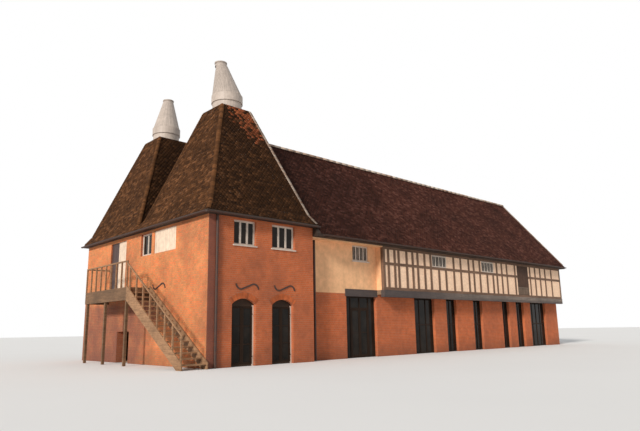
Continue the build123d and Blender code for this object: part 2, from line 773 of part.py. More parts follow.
def barn_shell():
    """The whole barn roof as a hollow shell with a hipped right end, clear of the kiln walls."""
    roof_body(((ky0 - eave_out, head_z), (ky0 - eave_out, head_z + eave_rise), (ridge_y, ridge_z),
               (back_y + eave_out, head_z + eave_rise), (back_y + eave_out, head_z)),
              bx1 + end_over, head_z + eave_rise, hip_slope, ky0 - 2 * eave_out, back_y + 2 * eave_out)
    add(barn_hollow.part, mode=Mode.SUBTRACT)
    block(x_start - 10, ky0 - 2 * eave_out, head_z - 10, kx1, back_y + 2 * eave_out, wall_h, Mode.SUBTRACT)


def slope_part(points):
    """One slope: the shell inside a plan shape, less the kiln roofs."""
    barn_shell()
    add(near_kiln_body.part, mode=Mode.SUBTRACT)
    add(far_kiln_body.part, mode=Mode.SUBTRACT)
    extrude(outline(Plane.XY.offset(head_z - 100), points), amount=ridge_z, mode=Mode.INTERSECT)


hip_x = bx1 - hip_in
with BuildPart() as barn_roof_front:
    slope_part(((x_start - 50, ky0 - eave_out), (bx1 + end_over, ky0 - eave_out),
                (hip_x, ridge_y), (x_start - 50, ridge_y)))
with BuildPart() as barn_roof_back:
    slope_part(((x_start - 50, ridge_y), (hip_x, ridge_y),
                (bx1 + end_over, back_y + eave_out), (x_start - 50, back_y + eave_out)))
with BuildPart() as barn_roof_hip:
    slope_part(((hip_x, ridge_y), (bx1 + end_over, ky0 - eave_out),
                (bx1 + end_over, back_y + eave_out)))

# ridge tiles
with BuildPart() as ridge_tiles:
    with BuildSketch(Plane.YZ.offset(x_start)):
        with Locations((ridge_y, ridge_z - ridge_r / 2)):
            Circle(ridge_r)
    extrude(amount=hip_x - x_start)
    with BuildSketch(Plane.YZ.offset(x_start)):
        with BuildLine():
            Polyline((ky0, ridge_z - slope * barn_d / 2), (ridge_y, ridge_z),
                     (back_y, ridge_z - slope * barn_d / 2), close=True)
        make_face()
    extrude(amount=hip_x - x_start, mode=Mode.SUBTRACT)
    add(near_kiln_body.part, mode=Mode.SUBTRACT)
    add(far_kiln_body.part, mode=Mode.SUBTRACT)

# outside stair on the left wall
rise = storey_h / risers
sx0 = kx0 - stair_w
sx1 = kx0
top_y = ky0 + stair_end
with BuildPart() as stair_treads:
    for i in range(1, risers):
        y = top_y - (risers - i) * going
        block(sx0 + string_t, y, i * rise - tread_t, sx1 - stair_off - string_t, y + going, i * rise)

foot_y = top_y - (risers - 1) * going
nose_y = foot_y - string_nose


def pitch(y, up):
    """The height of the stair's slope at y, raised by up."""
    return rise + (y - foot_y) * rise / going + up


with BuildPart() as stair_strings:
    for x in (sx0, sx1 - stair_off - string_t):
        side = outline(Plane.YZ.offset(x), ((nose_y, 0), (nose_y, pitch(nose_y, string_up)),
                                            (top_y, pitch(top_y, string_up)), (top_y, storey_h - fascia_h),
                                            (foot_y + going, 0)))
        extrude(side, amount=string_t)

land_y = top_y + landing_l
with BuildPart() as landing:
    block(sx0, top_y, storey_h - landing_t, sx1, land_y, storey_h)
    block(sx0, top_y, storey_h - fascia_h, sx0 + string_t, land_y, storey_h - landing_t)
    block(sx0, land_y - string_t, storey_h - fascia_h, sx1, land_y, storey_h - landing_t)
    block(sx0, top_y, storey_h - fascia_h, sx1, top_y + string_t, storey_h - landing_t)
    for y in (top_y + string_t, (top_y + land_y) / 2, land_y - string_t - post_w):
        block(sx0 + string_t, y, 0, sx0 + string_t + post_w, y + post_w, storey_h - landing_t)

# handrail of the landing and the flight
with BuildPart() as stair_rail:
    block(sx0, top_y, storey_h + rail_z, sx0 + rail_bar, land_y, storey_h + rail_z + rail_bar)
    block(sx0, land_y - rail_bar, storey_h + rail_z, sx1, land_y, storey_h + rail_z + rail_bar)
    for i in range(rail_bays + 1):
        y = top_y + i * (land_y - top_y - rail_bar) / rail_bays
        block(sx0, y, storey_h, sx0 + rail_bar, y + rail_bar, storey_h + rail_z)
    up = rail_z - rise / 2
    top_rail = outline(Plane.YZ.offset(sx0), ((nose_y, pitch(nose_y, up)), (top_y, pitch(top_y, up)),
                                              (top_y, pitch(top_y, up + rail_bar)),
                                              (nose_y, pitch(nose_y, up + rail_bar))))
    extrude(top_rail, amount=rail_bar)
    for i in range(0, risers - 1, 2):
        y = foot_y + i * going
        y2 = y + rail_bar
        bar = outline(Plane.YZ.offset(sx0), ((y, pitch(y, string_up)), (y2, pitch(y2, string_up)),
                                             (y2, pitch(y2, up + rail_lap)), (y, pitch(y, up + rail_lap))))
        extrude(bar, amount=rail_bar)

def tie_shape(x, z, way):
    """The face of one plate, traced along its bends; way says which end dips."""
    w = tie_w * way
    h = tie_h
    with BuildLine() as curve:
        a = Line((x - w * 0.2, z - h * 0.22), (x + w * 0.2, z + h * 0.22))
        TangentArc(a @ 1, (x + w * 0.47, z - h * 0.26), tangent=a % 1)
        TangentArc(a @ 0, (x - w * 0.47, z + h * 0.26), tangent=(a % 0) * -1)
    trace(curve.line, line_width=tie_bar)


with BuildPart() as tie_plates:
    with BuildSketch(facing(ky0)):
        for x in tie_xs:
            tie_shape(kx0 + x, storey_h - tie_drop, 1)
    extrude(amount=tie_t)
    with BuildSketch(Plane.YZ.offset(kx0 - tie_t)):
        tie_shape(ky0 + side_tie_y, storey_h + side_tie_rise, -1)
    extrude(amount=tie_t)

def gutter_face(x, z):
    """The half-round trough of a gutter, in the sketch that is open."""
    with Locations((x, z)):
        Circle(gutter_r)
        Circle(gutter_r - gutter_t, mode=Mode.SUBTRACT)
        Rectangle(3 * gutter_r, 2 * gutter_r, align=(Align.CENTER, Align.MIN), mode=Mode.SUBTRACT)


side_len = ky2 - ky0 + 2 * roof_over
with BuildPart() as rainwater_pipes:
    for x, y, z1 in ((kx1 + pipe_r + barn_pipe_gap, brick_y - pipe_r, head_z - pipe_stop),
                     (kx0 + corner_pipe_x, ky0 - pipe_r, wall_h)):
        with Locations((x, y, 0)):
            Cylinder(pipe_r, z1, align=(Align.CENTER, Align.CENTER, Align.MIN))
    with BuildSketch(Plane.YZ.offset(kx0 - roof_over)):
        gutter_face(ky0 - roof_over - gutter_r, top_z - gutter_z)
    extrude(amount=kiln_w + 2 * roof_over)
    with BuildSketch(facing(ky2 + roof_over)):
        gutter_face(kx0 - roof_over - gutter_r, top_z - gutter_z)
    extrude(amount=side_len)
    with BuildSketch(Plane.YZ.offset(kx1 + roof_over + 2 * gutter_r)):
        gutter_face(ky0 - eave_out - gutter_r, head_z + eave_rise - gutter_z)
    extrude(amount=barn_l + end_over - roof_over - 2 * gutter_r)

names = {
    "near_kiln_piers": near_kiln_piers, "near_kiln_front": near_kiln_front,
    "near_kiln_left_wall": near_kiln_left_wall, "far_kiln_left_wall": far_kiln_left_wall,
    "kiln_party_wall": kiln_party_wall, "far_kiln_back_wall": far_kiln_back_wall,
    "kiln_right_wall": kiln_right_wall, "kiln_floors": kiln_floors,
    "near_kiln_roof": near_kiln_roof, "far_kiln_roof": far_kiln_roof,
    "cowl_curbs": cowl_curbs, "near_cowl": near_cowl, "far_cowl": far_cowl,
    "kiln_door_frames": kiln_door_frames,
    "door_1_left_leaf": door_1_left_leaf, "door_1_right_leaf": door_1_right_leaf,
    "door_2_left_leaf": door_2_left_leaf, "door_2_right_leaf": door_2_right_leaf,
    "door_1_left_glass": door_1_left_glass, "door_1_right_glass": door_1_right_glass,
    "door_2_left_glass": door_2_left_glass, "door_2_right_glass": door_2_right_glass,
    "kiln_windows": kiln_windows, "kiln_window_glass": kiln_window_glass,
    "side_boards": side_boards,
    "barn_ground_floor": barn_ground_floor, "barn_upper_floor": barn_upper_floor,
    "barn_piers": barn_piers, "bay_wall": bay_wall, "storey_beams": storey_beams,
    "timber_frame": timber_frame, "infill_panels": infill_panels,
    "barn_windows": barn_windows, "barn_window_glass": barn_window_glass,
    "boarded_panel": boarded_panel, "ground_screens": ground_screens,
    "ground_screen_glass": ground_screen_glass, "entrance_frame": entrance_frame,
    "entrance_left_leaf": entrance_left_leaf, "entrance_right_leaf": entrance_right_leaf,
    "entrance_left_glass": entrance_left_glass, "entrance_right_glass": entrance_right_glass,
    "barn_back_wall": barn_back_wall, "barn_end_wall": barn_end_wall,
    "barn_roof_front": barn_roof_front, "barn_roof_back": barn_roof_back,
    "barn_roof_hip": barn_roof_hip, "ridge_tiles": ridge_tiles,
    "stair_treads": stair_treads, "stair_strings": stair_strings, "landing": landing,
    "stair_rail": stair_rail, "tie_plates": tie_plates, "rainwater_pipes": rainwater_pipes,
}
os.makedirs("parts", exist_ok=True)
for name, built in names.items():
    built.part.label = name
    export_step(built.part, "parts/" + name + ".step")
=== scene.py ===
"""Looks of an oast house with an oak-framed barn: tiles, bricks, boards, paint and glass.

The file is laid out as an add-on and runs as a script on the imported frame. Sizes are in metres.
"""
import math
from fnmatch import fnmatch

import bpy
import numpy as np
from bpy.props import FloatProperty, FloatVectorProperty, PointerProperty
from mathutils import Matrix, Vector


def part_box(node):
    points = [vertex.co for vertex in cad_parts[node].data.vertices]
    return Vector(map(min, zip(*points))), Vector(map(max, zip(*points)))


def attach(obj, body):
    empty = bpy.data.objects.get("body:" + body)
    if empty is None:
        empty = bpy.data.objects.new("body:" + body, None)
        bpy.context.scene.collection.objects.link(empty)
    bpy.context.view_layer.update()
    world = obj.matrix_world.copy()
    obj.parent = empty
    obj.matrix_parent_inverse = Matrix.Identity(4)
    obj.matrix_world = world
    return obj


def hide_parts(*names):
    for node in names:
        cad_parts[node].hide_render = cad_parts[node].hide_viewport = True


bl_info = {
    "name": "Oast house with oak barn",
    "version": (1, 0, 0),
    "blender": (4, 5, 0),
    "location": "View3D > Sidebar > Oast house",
    "description": "Tiles, bricks, boards and finishes for an oast house with an oak-framed barn",
    "category": "Object",
}

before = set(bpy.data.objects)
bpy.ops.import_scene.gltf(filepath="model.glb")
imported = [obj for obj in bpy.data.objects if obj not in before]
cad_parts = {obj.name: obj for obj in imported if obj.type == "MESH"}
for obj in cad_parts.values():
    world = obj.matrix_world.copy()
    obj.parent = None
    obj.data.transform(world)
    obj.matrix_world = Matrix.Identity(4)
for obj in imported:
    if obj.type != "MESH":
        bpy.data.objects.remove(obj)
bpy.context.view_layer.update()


def corners(node):
    """The lowest and highest corner of a node as arrays."""
    low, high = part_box(node)
    return np.array(low), np.array(high)


# places read from the frame
KILN_LOW, KILN_HIGH = corners("near_kiln_roof")
FAR_LOW, FAR_HIGH = corners("far_kiln_roof")
BARN_LOW, BARN_HIGH = corners("barn_roof_front")
BACK_HIGH = corners("barn_roof_back")[1]
WALL_LOW, WALL_HIGH = corners("near_kiln_piers")

# roof lines
KILN_EAVE_Z = 5.48
KNEE_Z = 5.93
KNEE_IN = 0.30
KILN_TOP_HALF = 0.725
KILN_MIDS = (0.0, 5.5)
CURB_R = 0.64
COWL_BOARDS = 40
BARN_EAVE_Z = 5.16
RIDGE_Y = -0.05
RIDGE_Z = 9.68
HIP_X = 23.3
BARN_PITCH = (RIDGE_Z - BARN_EAVE_Z) / (RIDGE_Y - BARN_LOW[1])

# doorways
DOOR_W = 1.05
DOOR_XS = (-1.47, 0.36)
SPRING_Z = 2.2
ARCH_RISE = 0.21
ARCH_DEEP = 0.226
ARCH_COUNT = 17

# timber rails, low and high edge
RAILS = ((3.0, 3.13), (4.17, 4.30), (4.91, 5.04))

# plain tiles: rise and hump of a tail, fall to the head, side gap, and the chance in how each lies
TAIL_LIFT = 0.013
TAIL_PLAY = 0.005
TAIL_HUMP = 0.003
HEAD_FALL = 0.029
TILE_GAP = 0.0015
TILE_SHIFT = 0.0012
TILE_SLIP = 0.0025
LEAST_TILE = 0.02

# hip tiles and the mortar under them
HIP_W = 0.125
HIP_L = 0.21
HIP_HEAD = 0.86
HIP_T = 0.014
SADDLE_SOFT = 0.35
BED_W = 0.105
BED_LIFT = 0.024
BED_SOFT = 0.12

# bricks: how far a face stands proud on the average, at least and at most, and the smallest cut brick
PROUD = 0.0036
PROUD_PLAY = 0.0006
PROUD_RANGE = (0.0024, 0.0048)
BRICK_ROOT = 0.002
LEAST_BRICK = (0.02, 0.015)

# boards
BACKING = 0.022
BOARD_PLAY = 0.003
DARK_BOARD_W = 0.125
SASH_PROUD = 0.014
BAR_HALF = 0.009
SLATS = 9


# settings

def length(about, value):
    """A length setting."""
    return FloatProperty(name=about, default=value, unit="LENGTH", precision=3)


def colour(about, value):
    """A colour setting."""
    return FloatVectorProperty(name=about, default=value, subtype="COLOR", size=3, min=0.0, max=1.0)


class OastSizes(bpy.types.PropertyGroup):
    """Sizes of the small repeated pieces."""

    tile_w: length("Width of one plain tile", 0.165)
    tile_l: length("Length of one plain tile", 0.265)
    tile_t: length("Thickness of one plain tile", 0.013)
    gauge: length("Height of a tile course along the slope", 0.100)
    brick_l: length("Length of a brick with its joint", 0.225)
    brick_h: length("Height of a brick course", 0.075)
    joint: length("Width of a mortar joint", 0.010)
    board_w: length("Width of a cladding board", 0.145)
    sash_w: length("Face width of a window sash", 0.026)
    ridge_l: length("Length of one ridge tile", 0.45)


class OastColours(bpy.types.PropertyGroup):
    """Colours of the finishes."""

    brick: colour("Main colour of the bricks", (0.57, 0.139, 0.044))
    brick_dark: colour("Colour of the harder fired bricks", (0.36, 0.090, 0.034))
    mortar: colour("Colour of the mortar", (0.50, 0.29, 0.18))
    kiln_tile: colour("Main colour of the kiln tiles", (0.100, 0.041, 0.015))
    barn_tile: colour("Main colour of the barn tiles", (0.094, 0.032, 0.021))
    new_tile: colour("Colour of tiles laid later", (0.50, 0.140, 0.055))
    ridge_tile: colour("Colour of the bedded ridge and hip tiles", (0.36, 0.22, 0.15))
    render: colour("Colour of the plain wall", (0.86, 0.49, 0.26))
    infill: colour("Colour of the panels between timbers", (0.96, 0.67, 0.465))
    oak: colour("Colour of the old oak", (0.185, 0.105, 0.066))
    beam: colour("Colour of the weathered beam", (0.21, 0.165, 0.135))
    paint: colour("Colour of the painted windows", (0.66, 0.56, 0.47))
    dark: colour("Colour of the doors and screens", (0.018, 0.010, 0.006))
    cream: colour("Colour of the shutter and upper door", (0.84, 0.66, 0.50))
    cowl: colour("Colour of the cowls", (0.50, 0.42, 0.36))
    stair: colour("Colour of the outside stair", (0.30, 0.165, 0.085))
    iron: colour("Colour of the ironwork", (0.045, 0.026, 0.020))


def sizes():
    """The size settings of the scene."""
    return bpy.context.scene.oast_sizes


def colours(name):
    """A colour setting."""
    return tuple(getattr(bpy.context.scene.oast_colours, name))


def shaded(main, *shares):
    """A colour times one share, or times one for each channel, held at full strength."""
    return tuple(min(1.0, v * k) for v, k in zip(main, shares * 3 if len(shares) == 1 else shares))


# meshes

def unit(v):
    """A vector of length one."""
    v = np.asarray(v, float)
    return v / np.linalg.norm(v)


def surface(*parts):
    """A grid of points from arrays that spread over each other, one for each coordinate."""
    return np.stack(np.broadcast_arrays(*parts), axis=-1)


def shells(top, under):
    """Closed slabs between two grids of points, each (pieces, along, across, 3).

    The two faces are the grids themselves; the rim joins the outline of one to the other.
    """
    n, a, b, _ = top.shape
    cell = a * b
    verts = np.concatenate([top.reshape(n, cell, 3), under.reshape(n, cell, 3)], axis=1)
    grid = np.arange(cell).reshape(a, b)
    face = np.stack([grid[:-1, :-1], grid[:-1, 1:], grid[1:, 1:], grid[1:, :-1]], axis=-1).reshape(-1, 4)
    edge = np.concatenate([grid[0, :], grid[1:, -1], grid[-1, -2::-1], grid[-2:0:-1, 0]])
    after = np.roll(edge, -1)
    rim = np.stack([after, edge, edge + cell, after + cell], axis=-1)
    one = np.concatenate([face, face[:, ::-1] + cell, rim])
    quads = one[None] + (np.arange(n) * 2 * cell)[:, None, None]
    return verts.reshape(-1, 3), quads.reshape(-1, 4)


def outward(verts, quads):
    """The quads turned so that the closed slabs have a positive volume."""
    p = verts[quads]
    turn = np.cross(p[:, 1], p[:, 2]) + np.cross(p[:, 2], p[:, 3])
    return quads if np.einsum("ij,ij->", p[:, 0], turn) > 0 else quads[:, ::-1]


def new_mesh(name, verts, quads, material, flat):
    """One mesh object at the origin."""
    mesh = bpy.data.meshes.new(name)
    mesh.vertices.add(len(verts))
    mesh.vertices.foreach_set("co", verts.astype(np.float32).ravel())
    mesh.loops.add(quads.size)
    mesh.loops.foreach_set("vertex_index", quads.astype(np.int32).ravel())
    mesh.polygons.add(len(quads))
    mesh.polygons.foreach_set("loop_start", np.arange(0, quads.size, 4, dtype=np.int32))
    mesh.polygons.foreach_set("use_smooth", np.full(len(quads), not flat))
    mesh.update(calc_edges=True)
    mesh.materials.append(MATERIALS[material])
    made = bpy.data.objects.new(name, mesh)
    bpy.context.scene.collection.objects.link(made)
    return made


def new_piece(name, slabs, material, flat=False):
    """A piece of the house from groups of slabs, each with its two grids and, if any, its colours."""
    verts, quads, tones, start = [], [], [], 0
    for top, under, *marks in slabs:
        v, q = shells(top, under)
        verts.append(v)
        quads.append(outward(v, q) + start)
        start += len(v)
        tones += [np.repeat(mark, 2 * top.shape[1] * top.shape[2], axis=0) for mark in marks]
    piece = new_mesh(name, np.concatenate(verts), np.concatenate(quads), material, flat)
    if tones:
        tone = piece.data.color_attributes.new("tone", "FLOAT_COLOR", "POINT")
        tone.data.foreach_set("color", np.concatenate(tones).astype(np.float32).ravel())
    if piece.data.validate():
        raise RuntimeError(name + " has faces that are not sound")
    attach(piece, "house")
    return piece


def blocks(low, high, axis, side, bevel=0.004):
    """Boxes (n, 3) whose face towards side on axis is narrower by the bevel all round."""
    low, high = np.atleast_2d(low).astype(float), np.atleast_2d(high).astype(float)
    u, v = [k for k in range(3) if k != axis]
    top, under = np.zeros((2, len(low), 2, 2, 3))
    for i, j in np.ndindex(2, 2):
        for k, end in ((u, i), (v, j)):
            under[:, i, j, k] = (high if end else low)[:, k]
            top[:, i, j, k] = under[:, i, j, k] + (-bevel if end else bevel)
    outer, inner = (high, low) if side > 0 else (low, high)
    top[..., axis] = outer[:, None, None, axis]
    under[..., axis] = inner[:, None, None, axis]
    return top, under


def noise_marks(rng, n, patch=0.0, shade=0.0):
    """A colour per slab: random tone, share of newer tile, painted shade, one."""
    return surface(rng.random(n), patch, shade, 1.0)


def tile_slope(origin, along, up, left, right, rng, start=0.0, keep=None, patch=None, shade=None):
    """Plain tiles laid to half bond on a slope: courses climb up from origin, tiles run along.

    A tile is a slab on a 2 by 3 grid. Its tail is raised and its middle slightly humped; its head
    sinks under the course above. left and right give the slope's edges as (heights, offsets), and
    up is as long as the slope. keep, patch and shade read the middle of each tile's tail.
    """
    s = sizes()
    reach = np.linalg.norm(up)
    along, up = unit(along), unit(up)
    out = np.cross(along, up)
    rows = []
    for k, d in enumerate(np.arange(start, reach - 0.03, s.gauge)):
        first = math.floor(np.interp(d, *left) / s.tile_w) - 1
        last = math.ceil(np.interp(d, *right) / s.tile_w) + 1
        u = (np.arange(first, last) + 0.5 * (k % 2)) * s.tile_w
        rows.append(np.stack([np.full(len(u), d), u]))
    d, u = np.concatenate(rows, axis=1)
    n = len(d)
    ends = np.stack([d, np.minimum(d + s.tile_l, reach)], axis=1)
    across = u[:, None, None] + np.linspace(TILE_GAP, s.tile_w - TILE_GAP, 3)
    across = across + rng.normal(0, TILE_SHIFT, (n, 1, 1))
    across = np.clip(across, np.interp(ends, *left)[:, :, None], np.interp(ends, *right)[:, :, None])
    climb = np.repeat(ends[:, :, None], 3, axis=2)
    climb[:, 0] += rng.normal(0, TILE_SLIP, (n, 1))
    if start > 0.0:
        climb = np.maximum(climb, start)
    lift = np.zeros((n, 2, 3))
    lift[:, 0] = TAIL_LIFT + rng.random((n, 1)) * TAIL_PLAY + np.array([0.0, TAIL_HUMP, 0.0])
    lift[:, 0] += rng.normal(0, TILE_SHIFT, (n, 1)) * np.array([-1.0, 0.0, 1.0])
    lift[:, 1] = TAIL_LIFT - HEAD_FALL * (ends[:, 1:] - ends[:, :1]) / s.tile_l
    top = origin + across[..., None] * along + climb[..., None] * up + lift[..., None] * out
    good = across[:, 0, 2] - across[:, 0, 0] > LEAST_TILE
    if keep is not None:
        good &= keep(top[:, 0, 1])
    top = top[good]
    mid = top[:, 0, 1]
    marks = noise_marks(rng, len(top), patch(mid, rng) if patch else 0.0, shade(mid) if shade else 0.0)
    return top, top - out * s.tile_t, marks


def hip_axes(low, high, normal_a, normal_b):
    """Along a hip, down each of its two slopes, and out between them."""
    t, na, nb = unit(high - low), unit(normal_a), unit(normal_b)
    a, b = np.cross(na, t), np.cross(nb, t)
    return t, a if a @ nb < 0 else -a, b if b @ na < 0 else -b, unit(na + nb)


def saddle(soft):
    """How far seven points s from -1 to 1 lie down the slopes: a soft max(-s, 0) and a soft max(s, 0)."""
    s = np.linspace(-1, 1, 7)
    bow = np.sqrt(s ** 2 + soft)
    return 0.5 * (bow - s), 0.5 * (bow + s)


def hip_run(low, high, normals, rng, keep=None, start=0.0, bedded=0.0):
    """Saddle-shaped tiles up a hip, each wider and higher at its tail than at its head.

    A point is at the hip line plus the width times the saddle's share down either slope.
    """
    t, a, b, n = hip_axes(low, high, *normals)
    reach = np.linalg.norm(high - low)
    steps = np.arange(start, reach - 0.06, sizes().gauge)
    if keep is not None:
        steps = steps[keep(low + steps[:, None] * t)]
    down_a, down_b = saddle(SADDLE_SOFT ** 2)
    size = (len(steps), 1)
    rows = []
    for ahead, width, lift in ((0.0, HIP_W, 0.040), (HIP_L, HIP_W * HIP_HEAD, 0.012)):
        far = np.minimum(steps + ahead, reach)[:, None, None]
        wide = width * (1 + rng.normal(0, 0.03, size))
        rise = lift + SADDLE_SOFT * 0.5 * width * abs((a + b) @ n) + rng.normal(0, 0.0015, size)
        rows.append(low + far * t + (wide * down_a)[..., None] * a + (wide * down_b)[..., None] * b
                    + rise[..., None] * n)
    grid = np.stack(rows, axis=1)
    return grid, grid - n * HIP_T, noise_marks(rng, len(steps), bedded)


def bed_run(low, high, normals, bedded=0.0):
    """The mortar under a hip: the same saddle as the tiles, in one length, narrower and lower."""
    _, a, b, n = hip_axes(low, high, *normals)
    down_a, down_b = saddle(BED_SOFT)
    row = BED_W * (down_a[:, None] * a + down_b[:, None] * b) + BED_LIFT * n
    grid = (np.stack([low, high])[:, None, :] + row)[None]
    return grid, grid - n * 0.06, np.array([[0.5, bedded, 0.0, 1.0]])


# node trees

GROUPS = {}
MATERIALS = {}


class Value:
    """An output of a node; sums with it and comparisons of it each add a Math node."""

    def __init__(self, graph, socket):
        self.graph, self.socket = graph, socket

    def __rsub__(self, other):
        return self.graph.maths("SUBTRACT", other, self)


for sign, operation in (("__add__", "ADD"), ("__sub__", "SUBTRACT"), ("__mul__", "MULTIPLY"),
                        ("__gt__", "GREATER_THAN"), ("__lt__", "LESS_THAN"), ("larger", "MAXIMUM")):
    setattr(Value, sign, lambda a, b, operation=operation: a.graph.maths(operation, a, b))


class Graph:
    """A node tree, with a short call for each kind of node in use; inputs are values or constants."""

    def __init__(self, tree):
        self.tree = tree

    def feed(self, made, inputs):
        """Links or sets the inputs of a node; a colour gets its alpha here."""
        for key, value in inputs.items():
            socket = made.inputs[key]
            if isinstance(value, Value):
                self.tree.links.new(value.socket, socket)
            else:
                socket.default_value = (*value, 1.0) if socket.type == "RGBA" else value

    def node(self, kind, inputs, out=0, **props):
        """One output of a new shader node, or several when out is a tuple."""
        made = self.tree.nodes.new("ShaderNode" + kind)
        for key, value in props.items():
            setattr(made, key, value)
        self.feed(made, inputs)
        if isinstance(out, tuple):
            return [Value(self, made.outputs[key]) for key in out]
        return Value(self, made.outputs[out])

    def placed(self, name, **inputs):
        """The outputs of a shared group; a low line in the name of an input stands for a space."""
        made = self.tree.nodes.new("ShaderNodeGroup")
        made.node_tree = GROUPS[name]
        self.feed(made, {key.replace("_", " "): value for key, value in inputs.items()})
        return [Value(self, socket) for socket in made.outputs]

    def maths(self, operation, a, b=0.0):
        """The result of one sum."""
        return self.node("Math", {0: a, 1: b}, operation=operation)

    def blend(self, factor, a, b, kind="MIX"):
        """One colour over another."""
        return self.node("Mix", {0: factor, 6: a, 7: b}, 2, data_type="RGBA", blend_type=kind)

    def dim(self, main, value):
        """A colour times a value."""
        return self.blend(1.0, main, self.node("CombineColor", {0: value, 1: value, 2: value}), "MULTIPLY")

    def ramp(self, value, low, high):
        """A value stretched so that low gives 0 and high gives 1."""
        return self.node("MapRange", {0: value, 1: low, 2: high})

    def noise(self, where, scale, detail=4.0, rough=0.55):
        """Cloudy noise from 0 to 1."""
        inputs = {"Vector": where, "Scale": scale, "Detail": detail, "Roughness": rough}
        return self.node("TexNoise", inputs, "Fac")

    def axes(self, where):
        """The three coordinates of a point."""
        return self.node("SeparateXYZ", {0: where}, (0, 1, 2))

    def times(self, a, b):
        """Two vectors multiplied part by part."""
        return self.node("VectorMath", {0: a, 1: b}, operation="MULTIPLY")

    def tones(self):
        """The colour that each slab carries: its random tone, its share of newer tile and its painted shade.
        """
        carried = self.node("VertexColor", {}, "Color", layer_name="tone")
        return self.node("SeparateColor", {0: carried}, (0, 1, 2))

    def weathered(self, where, main, stain, size, amount):
        """A colour with stains and specks, and the specks' relief."""
        return self.placed("Weathering", Where=where, Colour=main, Stain=stain, Size=size, Amount=amount)

    def worn_edge(self, where, radius):
        """A mask of the edges that wear has bared."""
        return self.placed("Worn edges", Radius=radius, Where=where)[0]

    def finish(self, shader, main, rough, height, depth, gloss=0.5, metal=0.0):
        """Joins colour, roughness and bump to the shader and sets its gloss and share of metal."""
        bump = self.node("Bump", {"Strength": 1.0, "Distance": depth, "Height": height})
        self.feed(shader, {"Base Color": main, "Roughness": rough, "Normal": bump,
                           "Specular IOR Level": gloss, "Metallic": metal})


def group(name, inputs, outputs):
    """An empty shared group: its graph, its inputs as values and its output node.

    inputs and outputs name the sockets; v, c or f after the colon says vector, colour or float.
    """
    tree = bpy.data.node_groups.new(name, "ShaderNodeTree")
    kinds = {"v": "NodeSocketVector", "c": "NodeSocketColor", "f": "NodeSocketFloat"}
    for way, sockets in (("INPUT", inputs), ("OUTPUT", outputs)):
        for socket in sockets:
            label, kind = socket.split(":")
            tree.interface.new_socket(name=label, in_out=way, socket_type=kinds[kind])
    GROUPS[name] = tree
    g = Graph(tree)
    given = tree.nodes.new("NodeGroupInput").outputs
    return g, [Value(g, given[k]) for k in range(len(inputs))], tree.nodes.new("NodeGroupOutput")


def weathering_group():
    """Broad stains, middle blotches and fine specks laid over a colour."""
    g, (where, main, stain, size, amount), result = group(
        "Weathering", ("Where:v", "Colour:c", "Stain:c", "Size:f", "Amount:f"), ("Colour:c", "Height:f"))
    broad = g.ramp(g.noise(where, size, 5.0), 0.42, 0.70)
    middle = g.noise(where, size * 7.0, 5.0, 0.6)
    speck = g.noise(where, 90.0, 3.0, 0.6)
    toned = g.dim(g.blend(broad * amount, main, stain), middle * 0.7 + 0.66)
    specked = g.blend(0.6, toned, g.dim(toned, speck * 0.5 + 0.75))
    g.feed(result, {"Colour": specked, "Height": speck * 0.4 + middle})


def edge_group():
    """A mask of sharp edges: how far a rounded normal leaves the true one."""
    g, (radius, where), result = group("Worn edges", ("Radius:f", "Where:v"), ("Mask:f",))
    rounded = g.node("Bevel", {"Radius": radius}, samples=4)
    true = g.node("NewGeometry", {}, "Normal")
    turn = g.node("VectorMath", {0: rounded, 1: true}, "Value", operation="DOT_PRODUCT")
    patchy = g.ramp(g.noise(where, 14.0), 0.35, 0.65)
    g.feed(result, {"Mask": g.ramp(1.0 - turn, 0.02, 0.25) * patchy})


def bond_group():
    """Courses of stretchers and headers, with a tone for each brick."""
    s = sizes()
    g, (where, brick, dark, mortar), result = group(
        "Brick bond", ("Where:v", "Brick:c", "Dark brick:c", "Mortar:c"), ("Colour:c", "Height:f"))
    x, y, z = g.axes(where)
    bond = {"Vector": g.node("CombineXYZ", {0: x + y, 1: z}), "Scale": 1.0, "Mortar Size": s.joint * 0.45,
            "Brick Width": s.brick_l, "Row Height": s.brick_h}
    laid = {"offset": 0.5, "squash": 0.5, "squash_frequency": 2}
    wall, joint = g.node("TexBrick", {**bond, "Color1": brick, "Color2": dark, "Mortar": mortar,
                                      "Mortar Smooth": 0.15, "Bias": -0.25}, ("Color", "Fac"), **laid)
    odd = g.node("TexBrick", {**bond, "Color1": (0.62, 0.62, 0.62), "Color2": (1.35, 1.35, 1.35),
                              "Mortar": (1.0, 1.0, 1.0), "Bias": 0.1}, "Color", **laid)
    tinted = g.blend(0.55, wall, g.blend(1.0, wall, odd, "MULTIPLY"))
    g.feed(result, {"Colour": tinted, "Height": g.noise(where, 60.0, 5.0, 0.7) * 0.35 + (1.0 - joint)})


def grain_group():
    """Wood fibres: noise drawn out along the grain, as a shade and as relief."""
    g, (where, stretch), result = group("Wood grain", ("Where:v", "Stretch:v"), ("Shade:f", "Height:f"))
    drawn = g.times(where, stretch)
    both = g.noise(drawn, 4.0, 4.0, 0.7) * 0.45 + g.noise(drawn, 1.0, 5.0, 0.6) * 0.75
    g.feed(result, {"Shade": g.ramp(both, 0.35, 0.85), "Height": both})


def board_group():
    """Boards side by side: a mask of the joints and a tone for each board."""
    g, (across, width), result = group("Boards", ("Across:f", "Width:f"), ("Joint:f", "Tone:f"))
    steps = g.maths("DIVIDE", across, width)
    part = g.maths("FRACT", steps)
    edge = g.maths("MINIMUM", part, 1.0 - part)
    tone = g.node("TexWhiteNoise", {"W": g.maths("FLOOR", steps)}, "Value", noise_dimensions="1D")
    g.feed(result, {"Joint": g.ramp(edge, 0.035, 0.015), "Tone": tone})


